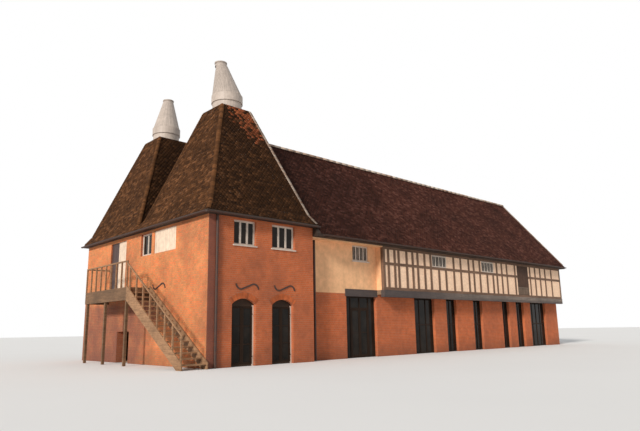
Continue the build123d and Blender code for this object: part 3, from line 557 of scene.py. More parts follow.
def blank(name):
    """A new material: its graph, its object coordinates and its Principled shader."""
    material = bpy.data.materials.new(name)
    material.use_nodes = True
    MATERIALS[name] = material
    g = Graph(material.node_tree)
    return g, g.node("TexCoord", {}, "Object"), material.node_tree.nodes["Principled BSDF"]


def brick_material(name, brick, dark, stain, share, side=None, shade_and_darkening=None):
    """Brickwork with a darker, damper foot and sooty blotches.

    side gives a brighter, yellower brick for the sunlit left face, as painted sunlight; the last argument is
    a mask of darker stretches, partly painted shade.
    """
    g, where, shader = blank(name)
    if side is not None:
        # painted sunlight: the left face, which the sun falls on, takes the brighter brick, and its dark
        # bricks the main colour
        left = left_face(g, where)
        brick, dark = g.blend(left, brick, side), g.blend(left, dark, brick)
    wall, relief = g.placed("Brick bond", Where=where, Brick=brick, Dark_brick=dark, Mortar=colours("mortar"))
    final, specks = g.weathered(where, wall, stain, 0.55, share)
    foot = g.noise(where, 1.6) - g.axes(where)[2] * 1.3
    final = g.blend(g.ramp(foot, -0.5, 0.6) * 0.55, final, (0.14, 0.062, 0.038))
    # painted shade on the wall below the landing, and a darker stretch beside the corner pipe, given as a
    # mask
    if shade_and_darkening is not None:
        cloud = g.noise(where, 1.1, 5.0) * 0.9 + 0.45
        final = g.blend(shade_and_darkening(g, where) * cloud, final, (0.16, 0.062, 0.048))
    g.finish(shader, final, specks * 0.12 + 0.80, specks * 0.15 + relief, 0.006, gloss=0.3)


def tile_material(name, main, light):
    """Clay tiles: a tone for each tile, newer ones, lichen, and painted shade carried by each tile."""
    g, where, shader = blank(name)
    tone, newer, painted_shade = g.tones()
    dark, new = shaded(main, 0.45), colours("new_tile")
    base = g.blend(g.ramp(tone, 0.0, 0.55), dark, main)
    base = g.blend(g.ramp(tone, 0.72, 1.0), base, light)
    base = g.blend(newer, base, g.blend(tone, new, shaded(new, 1.5)))
    # painted shade: tiles darkened by the shade value each one carries
    base = g.dim(base, 1.0 - painted_shade * 0.62)
    worn, specks = g.weathered(where, base, shaded(dark, 0.5), 0.7, 0.6)
    lichen = g.ramp(g.noise(where, 23.0, 5.0, 0.7), 0.62, 0.72) * 0.35
    final = g.blend(lichen, worn, (0.13, 0.095, 0.055))
    g.finish(shader, final, specks * 0.15 + 0.80, specks, 0.003, gloss=0.12)


def render_material(name, main, stain, scale, depth, amount):
    """Trowelled render with rain stains and a faint unevenness."""
    g, where, shader = blank(name)
    worn, specks = g.weathered(where, main, stain, scale, amount)
    streak = g.ramp(g.noise(g.times(where, (5.0, 5.0, 0.5)), 1.0, 4.0), 0.52, 0.75) * (amount * 0.6)
    height = g.noise(where, 30.0, 4.0, 0.6) * 0.6 + specks
    g.finish(shader, g.blend(streak, worn, shaded(main, 0.62)), 0.86, height, depth, gloss=0.25)


def rail_mask(g, z):
    """True on the level rails of the frame."""
    low, middle, high = [(z > foot - 0.001) * (z < head + 0.001) for foot, head in RAILS]
    return low.larger(middle).larger(high)


def timber_material(name, main, mode, share=0.5, shade_and_darkening=None):
    """Sawn timber with fibres and paler worn edges; its grain runs upright, level, or as in the frame."""
    g, where, shader = blank(name)
    runs = {"upright": (26.0, 26.0, 1.6), "level": (1.6, 1.6, 26.0)}
    grains = [g.placed("Wood grain", Where=where, Stretch=stretch)
              for run, stretch in runs.items() if mode in (run, "frame")]
    if mode == "frame":
        rails = rail_mask(g, g.axes(where)[2])
        shade, relief = [a * (1.0 - rails) + b * rails for a, b in zip(*grains)]
    else:
        shade, relief = grains[0]
    dark = shaded(main, 0.42)
    base = g.blend(shade, dark, shaded(main, 1.5))
    worn, _ = g.weathered(where, base, dark, 0.8, 0.5)
    final = g.blend(g.worn_edge(where, 0.012) * share, worn, shaded(main, 2.1))
    # painted shade: a given mask darkens the timber where it lies in shade
    if shade_and_darkening is not None:
        final = g.blend(shade_and_darkening(g, where), final, (0.042, 0.032, 0.034))
    g.finish(shader, final, 0.72, relief, 0.004, gloss=0.3)


def paint_material(name, main, under, across=None, chips=0.5, gloss=0.4, second=None, pale=None):
    """Painted wood: brush marks, grime in the joints of its boards, and paint worn off the edges.

    across counts boards, second is the colour of slabs so marked, and pale masks painted light in the pale
    window colour.
    """
    g, where, shader = blank(name)
    shade, relief = g.placed("Wood grain", Where=where, Stretch=(30.0, 30.0, 1.4))
    final, specks = g.weathered(where, main, shaded(main, 0.6), 0.9, 0.5)
    final = g.blend(shade * 0.16, final, under)
    if second is not None:
        tone, other, _ = g.tones()
        final = g.blend(other, g.blend(tone * 0.12, final, under), second)
    relief = relief * 0.25
    if across is not None:
        joint, tone = g.placed("Boards", Across=across(g, where), Width=1.0)
        final = g.blend(tone * 0.18, final, shaded(main, 0.55))
        final = g.blend(joint * 0.8, final, shaded(main, 0.25))
        relief = relief - joint * 1.5
    final = g.blend(g.worn_edge(where, 0.008) * chips, final, under)
    # painted light: the pale window colour where the sun falls on a jamb
    if pale is not None:
        final = g.blend(pale(g, where), final, colours("paint"))
    g.finish(shader, final, specks * 0.2 + 0.4, relief, 0.003, gloss=gloss)


def plain_materials():
    """Glass, iron, floor slabs and lead."""
    # painted shade: the glass is an opaque, near-black sheet standing for the dark rooms behind it
    g, where, shader = blank("glass")
    film = g.noise(where, 1.4, 4.0)
    tint = g.blend(g.ramp(film, 0.4, 0.7), (0.010, 0.008, 0.006), (0.026, 0.019, 0.014))
    g.finish(shader, tint, film * 0.10 + 0.04, g.noise(where, 2.2, 1.0), 0.002, gloss=0.12)

    g, where, shader = blank("iron")
    rust = g.ramp(g.noise(where, 11.0, 6.0, 0.7), 0.45, 0.70)
    tint = g.blend(rust, colours("iron"), (0.115, 0.042, 0.022))
    tint = g.blend(g.worn_edge(where, 0.006), tint, (0.20, 0.13, 0.10))
    g.finish(shader, tint, rust * 0.3 + 0.5, g.noise(where, 55.0, 4.0, 0.7), 0.002, metal=0.25)

    for name, main, stain, rough in (("slab", (0.34, 0.30, 0.26), (0.16, 0.13, 0.11), 0.8),
                                     ("lead", (0.17, 0.165, 0.165), (0.30, 0.29, 0.28), 0.6)):
        g, where, shader = blank(name)
        worn, specks = g.weathered(where, main, stain, 0.9, 0.6)
        g.finish(shader, worn, rough, specks, 0.003)


def clay_material(name, main, light):
    """Mortar, ridge tiles and arch bricks: a tone for each, and the pale film of lime on bedded ones."""
    g, where, shader = blank(name)
    tone, bedded, _ = g.tones()
    base = g.blend(bedded, g.blend(tone, main, light), g.blend(tone, colours("ridge_tile"), LIME))
    worn, specks = g.weathered(where, base, shaded(main, 0.4), 1.2, 0.5)
    final = g.blend(g.worn_edge(where, 0.006) * 0.35, worn, light)
    g.finish(shader, final, 0.85, specks, 0.004, gloss=0.15)


def painted_light_on_jambs(g, where):
    """Painted light on the right jamb of each kiln door, whose side the sun falls on."""
    x, _, z = g.axes(where)
    first, last = [(x > x0 + DOOR_W - 0.09) * (x < x0 + DOOR_W + 0.01) for x0 in DOOR_XS]
    return first.larger(last) * ((z < SPRING_Z - 0.02) * 0.9)


def painted_beam_shade(g, where):
    """Painted shade on the beam: darker along the stretch near the plain wall and along its lower edge."""
    x, _, z = g.axes(where)
    dark = g.ramp(g.noise(where, 0.5, 3.0) * 3.0 + x, 17.0, 11.0) * 0.78
    return dark.larger(g.ramp(z, 2.86, 2.78) * 0.5)


def cowl_boards(centre_y):
    """The angle around a cowl's upright axis, in boards."""
    def read(g, where):
        x, y, _ = g.axes(where)
        return g.maths("ARCTAN2", y - centre_y, x) * (COWL_BOARDS / (2 * math.pi))
    return read


def left_face(g, where):
    """True on the outer face of the left walls."""
    return g.axes(where)[0] < WALL_LOW[0] + 0.004


def pipe_stretch_and_landing_shade(g, where):
    """The darker stretch beside the corner pipe, and painted shade on the wall below the landing."""
    x, y, z = g.axes(where)
    pipe = g.ramp(x, -1.85, -2.25) * (y < WALL_LOW[1] + 0.004)
    landing_shade = g.ramp(z, 2.75, 2.35) * g.ramp(z * 0.8 + y, 1.7, 3.0) * left_face(g, where)
    return pipe.larger(landing_shade) * 0.76


# which nodes of the frame take each material; the first pattern that fits counts
DRESS = (
    ("glass", "*_glass"),
    ("dark_paint", "*_leaf ground_screens entrance_frame"),
    ("eaves", "*_roof* ridge_tiles"),
    ("slab", "barn_ground_floor"),
    ("floor_boards", "*_floor*"),
    ("bay_render", "bay_wall"),
    ("kiln_brick", "*kiln_piers *kiln_front *kiln*_wall"),
    ("barn_brick", "barn_piers barn_*_wall"),
    ("panel_render", "infill_panels"),
    ("oak_frame", "timber_frame"),
    ("beam_oak", "storey_beams"),
    ("window_paint", "*_windows"),
    ("door_frame_paint", "kiln_door_frames"),
    ("cream_paint", "side_boards"),
    ("panel_boards", "boarded_panel"),
    ("curb_paint", "cowl_curbs"),
    ("near_cowl_paint", "near_cowl"),
    ("far_cowl_paint", "far_cowl"),
    ("stair_wood", "stair_*"),
    ("landing_wood", "landing"),
    ("iron", "tie_plates rainwater_pipes"),
)
LIME = (0.60, 0.50, 0.41)
BARE = (0.30, 0.20, 0.13)


class OAST_OT_materials(bpy.types.Operator):
    """Makes the finishes and puts them on the frame"""

    bl_idname = "oast.materials"
    bl_label = "Finishes"

    def execute(self, context):
        for build in (weathering_group, edge_group, bond_group, grain_group, board_group):
            build()
        brick, brick_dark, tile = colours("brick"), colours("brick_dark"), colours("kiln_tile")
        # painted sunlight on the kiln's left face, and painted shade below its landing
        brick_material("kiln_brick", brick, brick_dark, (0.22, 0.080, 0.047), 0.55,
                       shaded(brick, 1.13, 1.80, 2.05), pipe_stretch_and_landing_shade)
        brick_material("barn_brick", shaded(brick, 1.08), brick_dark, (0.24, 0.085, 0.050), 0.40)
        tile_material("kiln_tile", tile, (0.20, 0.085, 0.035))
        tile_material("barn_tile", colours("barn_tile"), (0.17, 0.066, 0.048))
        render_material("bay_render", colours("render"), (0.62, 0.33, 0.17), 0.5, 0.004, 0.45)
        render_material("panel_render", colours("infill"), (0.66, 0.41, 0.28), 1.3, 0.005, 0.30)
        timber_material("oak_frame", colours("oak"), "frame")
        timber_material("beam_oak", colours("beam"), "level", 0.9, painted_beam_shade)
        timber_material("eaves", (0.050, 0.030, 0.020), "level", 0.3)
        timber_material("stair_wood", colours("stair"), "level")
        timber_material("landing_wood", shaded(colours("stair"), 0.55), "level")
        timber_material("floor_boards", (0.24, 0.15, 0.09), "level")
        timber_material("slat_wood", (0.20, 0.145, 0.105), "upright")
        timber_material("panel_boards", (0.075, 0.036, 0.020), "upright")
        paint_material("window_paint", colours("paint"), BARE)
        paint_material("door_frame_paint", (0.036, 0.020, 0.013), (0.13, 0.08, 0.05), gloss=0.12,
                       pale=painted_light_on_jambs)
        paint_material("dark_paint", colours("dark"), (0.10, 0.055, 0.035), chips=0.35, gloss=0.08)
        paint_material("cream_paint", colours("cream"), BARE, chips=0.25, second=(0.060, 0.034, 0.030))
        paint_material("curb_paint", colours("cowl"), BARE)
        # painted shade: the near cowl's colour is dimmed against the fuller sun it gets
        for side, y, share in zip(("near", "far"), KILN_MIDS, (0.88, 1.0)):
            paint_material(side + "_cowl_paint", shaded(colours("cowl"), share), (0.34, 0.24, 0.17),
                           cowl_boards(y))
        plain_materials()
        clay_material("mortar", (0.10, 0.055, 0.032), (0.17, 0.10, 0.06))
        clay_material("ridge_clay", shaded(tile, 0.8), shaded(tile, 1.8))
        clay_material("arch_brick", brick_dark, shaded(brick, 1.15))
        for name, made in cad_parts.items():
            fits = [material for material, nodes in DRESS if any(fnmatch(name, n) for n in nodes.split())]
            made.data.materials.clear()
            made.data.materials.append(MATERIALS[fits[0]])
        return {"FINISHED"}


# roofs

def kiln_x(z):
    """Half the width of a kiln roof at a height."""
    half = KILN_HIGH[0]
    return np.interp(z, [KILN_EAVE_Z, KNEE_Z, KILN_HIGH[2]], [half, half - KNEE_IN, KILN_TOP_HALF])


def barn_z(y):
    """Height of the barn roof at a depth."""
    return RIDGE_Z - BARN_PITCH * np.abs(y - RIDGE_Y)


def kiln_rings(low, high, mid):
    """The corners of a kiln roof at its eave, knee and top, going round from the near left."""
    h = KILN_TOP_HALF
    levels = [(low[0] + inset, high[0] - inset, low[1] + inset, high[1] - inset, z)
              for inset, z in ((0.0, KILN_EAVE_Z), (KNEE_IN, KNEE_Z))]
    return [np.array([(x0, y0, z), (x1, y0, z), (x1, y1, z), (x0, y1, z)])
            for x0, x1, y0, y1, z in (*levels, (-h, h, mid - h, mid + h, high[2]))]


def above_barn(mid):
    """True where a point of a kiln roof stands clear of the barn roof."""
    return (mid[:, 0] < 0.7) | (mid[:, 2] > barn_z(mid[:, 1]) - 0.03) | (mid[:, 1] > BACK_HIGH[1] - 0.02)


def flashing(mid, top_z):
    """Lead on the flat top of a kiln roof: four quarters from the curb's circle out to the square edge."""
    turn = np.linspace(-math.pi / 4, math.pi / 4, 13) + np.arange(4)[:, None] * math.pi / 2
    edge = (KILN_TOP_HALF - 0.004) / np.maximum(np.abs(np.cos(turn)), np.abs(np.sin(turn)))
    reach = np.stack([np.full_like(turn, CURB_R - 0.003), edge], axis=1)
    grid = surface(reach * np.cos(turn)[:, None], mid + reach * np.sin(turn)[:, None], top_z + 0.006)
    return grid, grid - np.array([0.0, 0.0, 0.008])


def patched(mid, rng):
    """Newer tiles near the head of the near kiln's front, thinning out downwards.

    Their share falls off like a bell on both sides of a slanted line, and to nothing at its foot.
    """
    line = 0.175 + 0.383 * (10.7 - mid[:, 2])
    near = np.exp(-((mid[:, 0] - line) / 0.62) ** 2) * np.clip((mid[:, 2] - 8.9) / 0.8, 0.0, 1.0)
    near *= (mid[:, 1] < -0.6) & (mid[:, 1] > -1.8)
    return (rng.random(len(mid)) < 0.95 * near) * (0.6 + 0.4 * rng.random(len(mid)))


class OAST_OT_kiln_tiles(bpy.types.Operator):
    """Tiles both kiln roofs and caps their hips"""

    bl_idname = "oast.kiln_tiles"
    bl_label = "Kiln tiles"

    def execute(self, context):
        for name, low, high, mid, seed in (("near_kiln", KILN_LOW, KILN_HIGH, KILN_MIDS[0], 11),
                                           ("far_kiln", FAR_LOW, FAR_HIGH, KILN_MIDS[1], 12)):
            rng = np.random.default_rng(seed)
            rings = kiln_rings(low, high, mid)
            tiles, hips, beds = [], [], []
            for below, above, start in zip(rings, rings[1:], (0.055, 0.0)):
                for k in range(4):
                    a, b, c, d = below[k], below[(k + 1) % 4], above[(k + 1) % 4], above[k]
                    along = unit(b - a)
                    up = (d - a) - ((d - a) @ along) * along
                    ends = (0.0, np.linalg.norm(up))
                    left, right = (ends, (0.0, (d - a) @ along)), (ends, ((b - a) @ along, (c - a) @ along))
                    # painted shade: the front slope, turned from the sun, is darkened most
                    tiles.append(tile_slope(a, along, up, left, right, rng, start, above_barn, patched,
                                            lambda mid: 0.75 if k == 0 else 0.05))
            for k in range(4):
                normals = []
                for j in (k, k - 1):
                    a, b, d = rings[1][j], rings[1][(j + 1) % 4], rings[2][j]
                    normals.append(np.cross(b - a, d - a))
                bedded = float(name == "near_kiln" and k == 1)
                for below, above, start in zip(rings, rings[1:], (0.14, 0.0)):
                    hips.append(hip_run(below[k], above[k], normals, rng, above_barn, start, bedded))
                beds.append(bed_run(rings[1][k], rings[2][k], normals, bedded))
            new_piece(name + "_tiles", tiles, "kiln_tile")
            new_piece(name + "_hips", hips, "ridge_clay")
            new_piece(name + "_hip_mortar", beds, "mortar")
            new_piece(name + "_flashing", [flashing(mid, high[2])], "lead", flat=True)
        return {"FINISHED"}


class OAST_OT_barn_tiles(bpy.types.Operator):
    """Tiles the barn roof, caps its hips and lays the ridge tiles"""

    bl_idname = "oast.barn_tiles"
    bl_label = "Barn tiles"

    def execute(self, context):
        end_x, rise = BARN_HIGH[0], RIDGE_Z - BARN_EAVE_Z
        z = np.array([BARN_EAVE_Z, KILN_EAVE_Z, KNEE_Z, RIDGE_Z])
        for name, y0, way, seed in (("barn_front_tiles", BARN_LOW[1], 1, 21),
                                    ("barn_back_tiles", BACK_HIGH[1], -1, 22)):
            climb = np.array([0.0, RIDGE_Y - y0, rise])
            reach = np.linalg.norm(climb)
            valley = ((z - BARN_EAVE_Z) * (reach / rise), way * (kiln_x(z) + 0.01))
            hip = ((0.0, reach), (way * end_x, way * HIP_X))
            # painted shade: the barn tiles darken towards the kiln end of the roof
            tiles = tile_slope(np.array([0.0, y0, BARN_EAVE_Z]), (way, 0, 0), climb, *(valley, hip)[::way],
                               np.random.default_rng(seed),
                               shade=lambda mid: np.clip(0.95 - (mid[:, 0] - 2.0) / 9.0, 0.0, 0.95))
            new_piece(name, [tiles], "barn_tile")
        rng = np.random.default_rng(23)
        top = np.array([HIP_X, RIDGE_Y, RIDGE_Z])
        foot, back = [np.array([end_x, y, BARN_EAVE_Z]) for y in (BARN_LOW[1], BACK_HIGH[1])]
        across, climb = back - foot, np.array([HIP_X - end_x, 0.0, rise])
        ends, peak = (0.0, np.linalg.norm(climb)), RIDGE_Y - foot[1]
        tiles = tile_slope(foot, across, climb, (ends, (0.0, peak)), (ends, (across[1], peak)), rng, 0.045)
        new_piece("barn_hip_tiles", [tiles], "barn_tile")
        hips, beds = [], []
        for low, pitch in ((foot, -BARN_PITCH), (back, BARN_PITCH)):
            t, normals = unit(top - low), ((0.0, pitch, 1.0), np.cross(across, climb))
            hips.append(hip_run(low + t * 0.21, top, normals, rng, bedded=1.0))
            beds.append(bed_run(low + t * 0.23, top, normals, 1.0))
        new_piece("barn_hips", hips, "ridge_clay")
        new_piece("barn_hip_mortar", beds, "mortar")
        self.ridge(rng)
        return {"FINISHED"}

    def ridge(self, rng):
        """Half-round tiles end to end: an arc about the ridge, carried along it, on a mortar bed."""
        low, high = corners("ridge_tiles")
        radius = (high[1] - low[1]) / 2
        centre_z = high[2] - radius
        start = float(kiln_x(centre_z)) + 0.02
        count = round((high[0] - start) / sizes().ridge_l)
        step = (high[0] - start) / count
        turn = np.radians(np.linspace(94.4, -94.4, 11))

        def arcs(x, r):
            """Arcs of one radius at each end (tiles, 2) of the tiles."""
            return surface(x[:, :, None], RIDGE_Y + r * np.sin(turn), centre_z + r * np.cos(turn))

        x = (start + np.arange(count) * step)[:, None] + np.array([0.004, step - 0.004])
        r = radius - 0.004 + rng.normal(0, 0.0012, (count, 1, 1))
        tiles = (arcs(x, r), arcs(x, r - 0.016), noise_marks(rng, count, 1.0))
        ridge = new_piece("ridge", [tiles], "ridge_clay")
        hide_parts("ridge_tiles")
        x = np.array([[start - 0.02, high[0]]])
        bed = (arcs(x, radius - 0.012), arcs(x, radius - 0.05), np.array([[0.6, 1.0, 0.0, 1.0]]))
        new_piece("ridge_mortar", [bed], "mortar")


# walls

def arch_shape():
    """Radius and half angle of the soffit of a door arch."""
    radius = (DOOR_W ** 2 / 4 + ARCH_RISE ** 2) / (2 * ARCH_RISE)
    return radius, math.asin(DOOR_W / 2 / radius)


def in_arch(points):
    """True for points (n, 2) of the kiln's front that lie in the ring of bricks over a doorway."""
    radius, half = arch_shape()
    found = np.zeros(len(points), bool)
    for x0 in DOOR_XS:
        across = points[:, 0] - x0 - DOOR_W / 2
        rise = points[:, 1] - (SPRING_Z + ARCH_RISE - radius)
        reach = np.hypot(across, rise)
        inside = np.abs(np.arctan2(across, rise)) < half + 0.003
        found |= (reach < radius + 0.23) & (reach > radius - 0.01) & inside
    return found


def on_face(points, tris):
    """True where a point (n, 2) lies in one of the triangles (m, 3, 2): three cross products of one sign."""
    way = np.roll(tris, -1, axis=1) - tris
    found = []
    for part in np.array_split(points, len(points) // 4000 + 1):
        off = part[:, None, None, :] - tris
        turn = way[..., 0] * off[..., 1] - way[..., 1] * off[..., 0]
        found.append(((turn > -1e-7).all(axis=2) | (turn < 1e-7).all(axis=2)).any(axis=1))
    return np.concatenate(found)


def cut_bricks(low, high, taken, cols=25, rows=9):
    """The largest upright or level strip of each brick that is wholly on the wall, by sampling it."""
    n = len(low)
    u, z = [low[:, k:k + 1] + (high - low)[:, k:k + 1] * np.linspace(0, 1, size)
            for k, size in enumerate((cols, rows))]
    good = taken(surface(u[:, :, None], z[:, None, :]).reshape(-1, 2)).reshape(n, cols, rows)
    whole = good.all(axis=2).any(axis=1)
    new_low, new_high = low.copy(), high.copy()
    for axis, places, strips, mine in ((0, u, good.all(axis=2), whole), (1, z, good.all(axis=1), ~whole)):
        each, last = np.arange(n), places.shape[1] - 1
        new_low[mine, axis] = places[each, strips.argmax(axis=1)][mine]
        new_high[mine, axis] = places[each, last - strips[:, ::-1].argmax(axis=1)][mine]
    keep = (whole | good.all(axis=1).any(axis=1)) & (new_high - new_low > LEAST_BRICK).all(axis=1)
    return new_low[keep], new_high[keep]


def triangles(node):
    """The triangles of a node's mesh: its points, and three of their numbers for each."""
    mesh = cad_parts[node].data
    co = np.zeros(len(mesh.vertices) * 3)
    mesh.vertices.foreach_get("co", co)
    loops = np.zeros(len(mesh.loops), np.int32)
    mesh.loops.foreach_get("vertex_index", loops)
    return co.reshape(-1, 3), loops.reshape(-1, 3)


def brick_faces(nodes, axis, side, rng, bare=None):
    """Bricks a few millimetres proud of the outermost face of some walls, on the bond of its finish.

    Even courses are headers set a quarter brick along, odd ones stretchers, counted along x plus y.
    """
    s = sizes()
    tris = np.concatenate([co[index] for co, index in map(triangles, nodes)])
    face = tris[..., axis].max() if side > 0 else tris[..., axis].min()
    tris = tris[(np.abs(tris[..., axis] - face) < 0.001).all(axis=1)][:, :, [1 - axis, 2]]
    first, last = tris.min(axis=(0, 1)), tris.max(axis=(0, 1))
    cells = []
    for row in range(math.floor(first[1] / s.brick_h), math.ceil(last[1] / s.brick_h)):
        width = s.brick_l * (1.0 if row % 2 else 0.5)
        back = face + side * BRICK_ROOT + (0.0 if row % 2 else width * 0.5)
        k = np.arange(math.floor((first[0] + back) / width), math.ceil((last[0] + back) / width))
        cells.append(surface(k * width - back, row * s.brick_h, width))
    cells = np.concatenate(cells)
    low = cells[:, :2] + s.joint / 2
    high = cells[:, :2] + surface(cells[:, 2], s.brick_h) - s.joint / 2

    def taken(points):
        found = on_face(points, tris)
        return found if bare is None else found & ~bare(points)

    ends = np.stack([low, high, surface(low[:, 0], high[:, 1]), surface(high[:, 0], low[:, 1]),
                     (low + high) / 2], axis=1)
    good = taken(ends.reshape(-1, 2)).reshape(-1, 5)
    whole = good.all(axis=1)
    part = good.any(axis=1) & ~whole
    cut = cut_bricks(low[part], high[part], taken)
    boxes = np.zeros((2, whole.sum() + len(cut[0]), 3))
    for box, flat, rest in zip(boxes, (low, high), cut):
        flat = np.concatenate([flat[whole], rest])
        box[:, [1 - axis, 2]] = flat + rng.normal(0, 0.0005, flat.shape)
    proud = face + side * np.clip(rng.normal(PROUD, PROUD_PLAY, len(boxes[0])), *PROUD_RANGE)
    boxes[0, :, axis], boxes[1, :, axis] = (face - side * BRICK_ROOT, proud)[::side]
    return blocks(*boxes, axis, side, 0.0015)


class OAST_OT_bricks(bpy.types.Operator):
    """Lays the bricks of every outer wall face"""

    bl_idname = "oast.bricks"
    bl_label = "Bricks"

    def execute(self, context):
        rng = np.random.default_rng(51)
        front_y, back_y = corners("barn_piers")[0][1], corners("barn_back_wall")[1][1]
        front, back = ("near_kiln_piers", "near_kiln_front"), ("far_kiln_back_wall",)
        indoors = (lambda p: (p[:, 0] > front_y) & (p[:, 0] < back_y))
        for name, nodes, axis, side, bare in (
                ("kiln_front", front, 1, -1, in_arch),
                ("kiln_left", (*front, "near_kiln_left_wall", "far_kiln_left_wall", *back), 0, -1, None),
                ("kiln_back", back, 1, 1, None),
                ("kiln_right", (*front, "kiln_right_wall", *back), 0, 1, indoors),
                ("barn_front", ("barn_piers",), 1, -1, None),
                ("barn_back", ("barn_back_wall",), 1, 1, None),
                ("barn_end", ("barn_piers", "barn_back_wall", "barn_end_wall"), 0, 1, None)):
            new_piece(name + "_bricks", [brick_faces(nodes, axis, side, rng, bare)], name[:4] + "_brick",
                      flat=True)
        return {"FINISHED"}


def fan(x0, radii, turn, y):
    """Points over the doorway at x0, at two radii and some angles (slabs, n), on a plane."""
    radius, _ = arch_shape()
    r, turn = np.array(radii)[:, None] + radius, turn[:, None, :]
    return surface(x0 + DOOR_W / 2 + r * np.sin(turn), y, SPRING_Z + ARCH_RISE - radius + r * np.cos(turn))


class OAST_OT_arches(bpy.types.Operator):
    """Turns a ring of bricks over each kiln doorway"""

    bl_idname = "oast.arches"
    bl_label = "Door arches"

    def execute(self, context):
        rng = np.random.default_rng(31)
        radius, half = arch_shape()
        edges = np.linspace(-half, half, ARCH_COUNT + 1)
        joint = 0.004 / radius
        turn = np.stack([edges[:-1] + joint, edges[1:] - joint], axis=1)
        round_bed = np.linspace(-half, half, 24)[None]
        face, inner = WALL_LOW[1] - 0.007, WALL_LOW[1] + 0.02
        bricks, beds = [], []
        for x0 in DOOR_XS:
            radii = (0.002, ARCH_DEEP - 0.004)
            play = rng.normal(0, 0.0012, (ARCH_COUNT, 1, 1))
            bricks.append((fan(x0, radii, turn, face + play), fan(x0, radii, turn, inner),
                           noise_marks(rng, ARCH_COUNT)))
            beds.append((fan(x0, (0.0, ARCH_DEEP), round_bed, face + 0.004),
                         fan(x0, (0.0, ARCH_DEEP), round_bed, inner), np.array([[0.2, 0.6, 0.0, 1.0]])))
        new_piece("door_arch_bricks", bricks, "arch_brick", flat=True)
        new_piece("door_arch_mortar", beds, "mortar")
        return {"FINISHED"}


# windows and boards

def panes(node):
    """The boxes of a node's separate panes, found by spreading the lowest label over each pane's corners."""
    co, index = triangles(node)
    _, same = np.unique(np.round(co, 4), axis=0, return_inverse=True)
    same = same.ravel()
    tris = same[index]
    label = np.arange(same.max() + 1)
    for _ in range(12):
        lowest = label[tris].min(axis=1)
        for k in range(3):
            np.minimum.at(label, tris[:, k], lowest)
    each = label[same]
    return [(co[each == n].min(axis=0), co[each == n].max(axis=0)) for n in np.unique(each)]


def outer_side(mid, axis):
    """Which way is outdoors at a pane: -1 or 1 along its axis."""
    if axis == 0:
        return -1 if mid[0] < 0 else 1
    return -1 if mid[1] < (KILN_MIDS[1] / 2 if mid[0] < WALL_HIGH[0] else RIDGE_Y) else 1


def sashes(node, width, bars):
    """Four strips round each pane of a node on its outer side, and an upright bar where bars says so."""
    slabs = []
    for low, high in panes(node):
        axis = int(np.argmin((high - low)[:2]))
        u, mid = 1 - axis, (low + high) / 2
        side = outer_side(mid, axis)
        face = high[axis] if side > 0 else low[axis]
        left, right, foot, head = low[u] + width, high[u] - width, low[2] + width, high[2] - width
        strips = [(low[u], left, low[2], high[2]), (right, high[u], low[2], high[2]),
                  (left, right, low[2], foot), (left, right, head, high[2])]
        if bars(mid):
            strips.append((mid[u] - BAR_HALF, mid[u] + BAR_HALF, foot, head))
        ends = np.zeros((2, len(strips), 3))
        ends[0, :, u], ends[1, :, u], ends[0, :, 2], ends[1, :, 2] = np.array(strips).T
        ends[..., axis] = np.sort([face - side * 0.001, face + side * SASH_PROUD])[:, None]
        slabs.append(blocks(*ends, axis, side, 0.003))
    return slabs


class OAST_OT_sashes(bpy.types.Operator):
    """Fits sashes and glazing bars to the windows"""

    bl_idname = "oast.sashes"
    bl_label = "Window sashes"

    def execute(self, context):
        width = sizes().sash_w
        for name, share, bars in (("kiln", 1.0, lambda mid: False), ("barn", 0.8, lambda mid: mid[2] > 4.0)):
            new_piece(name + "_sashes", sashes(name + "_window_glass", width * share, bars), "window_paint",
                      flat=True)
        return {"FINISHED"}


def planks(low, high, axis, side, run, width, rng, gap=0.004):
    """Boards side by side along run, between two corners, each a little in or out; also their middles."""
    count = max(1, round((high[run] - low[run]) / width))
    edges = np.linspace(low[run], high[run], count + 1)
    ends = np.repeat(np.stack([low, high])[:, None], count, axis=1)
    ends[0, :, run], ends[1, :, run] = edges[:-1] + gap / 2, edges[1:] - gap / 2
    middle = ends[..., run].sum(axis=0) / 2
    ends[int(side > 0), :, axis] -= side * rng.random(count) * BOARD_PLAY
    return (*blocks(*ends, axis, side), noise_marks(rng, count)), middle


def backing(low, high, axis):
    """The board behind a boarded face, and the far corner of the boards before it."""
    back, front = low.copy(), high.copy()
    back[axis] = front[axis] = low[axis] + BACKING
    return blocks(back, high, axis, -1, 0.002), front


class OAST_OT_boards(bpy.types.Operator):
    """Boards the shutter, the upper door, the dark panel and the landing"""

    bl_idname = "oast.boards"
    bl_label = "Boarding"

    def execute(self, context):
        rng = np.random.default_rng(41)
        slabs = []
        for low, high in panes("side_boards"):
            behind, front = backing(low, high, 0)
            slabs.append((*behind, noise_marks(rng, 1)))
            boards, middle = planks(low, front, 0, -1, 1, sizes().board_w, rng)
            is_door = high[2] - low[2] > 1.6
            boards[2][:, 1] = is_door & (middle > (low[1] + high[1]) / 2)
            slabs.append(boards)
        piece = new_piece("shutter_and_upper_door", slabs, "cream_paint", flat=True)
        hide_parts("side_boards")
        low, high = corners("boarded_panel")
        behind, front = backing(low, high, 1)
        boards, _ = planks(low, front, 1, -1, 0, DARK_BOARD_W, rng)
        piece = new_piece("dark_boards", [behind, boards[:2]], "panel_boards", flat=True)
        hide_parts("boarded_panel")
        x = np.linspace(low[0] + 0.10, high[0] - 0.10, SLATS)
        slats = blocks(surface(x - 0.022, low[1] - 0.016, low[2] + 0.03),
                       surface(x + 0.022, low[1] + 0.002, low[2] + 0.42), 1, -1, 0.003)
        rail = blocks((low[0] + 0.03, low[1] - 0.020, low[2] + 0.42),
                      (high[0] - 0.03, low[1] + 0.002, low[2] + 0.47), 1, -1, 0.003)
        new_piece("panel_slats", [slats, rail], "slat_wood", flat=True)
        low, high = corners("landing")
        low[2], high[2] = high[2] - 0.002, high[2] + 0.007
        boards, _ = planks(low, high, 2, 1, 0, sizes().board_w, rng)
        new_piece("landing_boards", [boards[:2]], "landing_wood", flat=True)
        return {"FINISHED"}


# stage

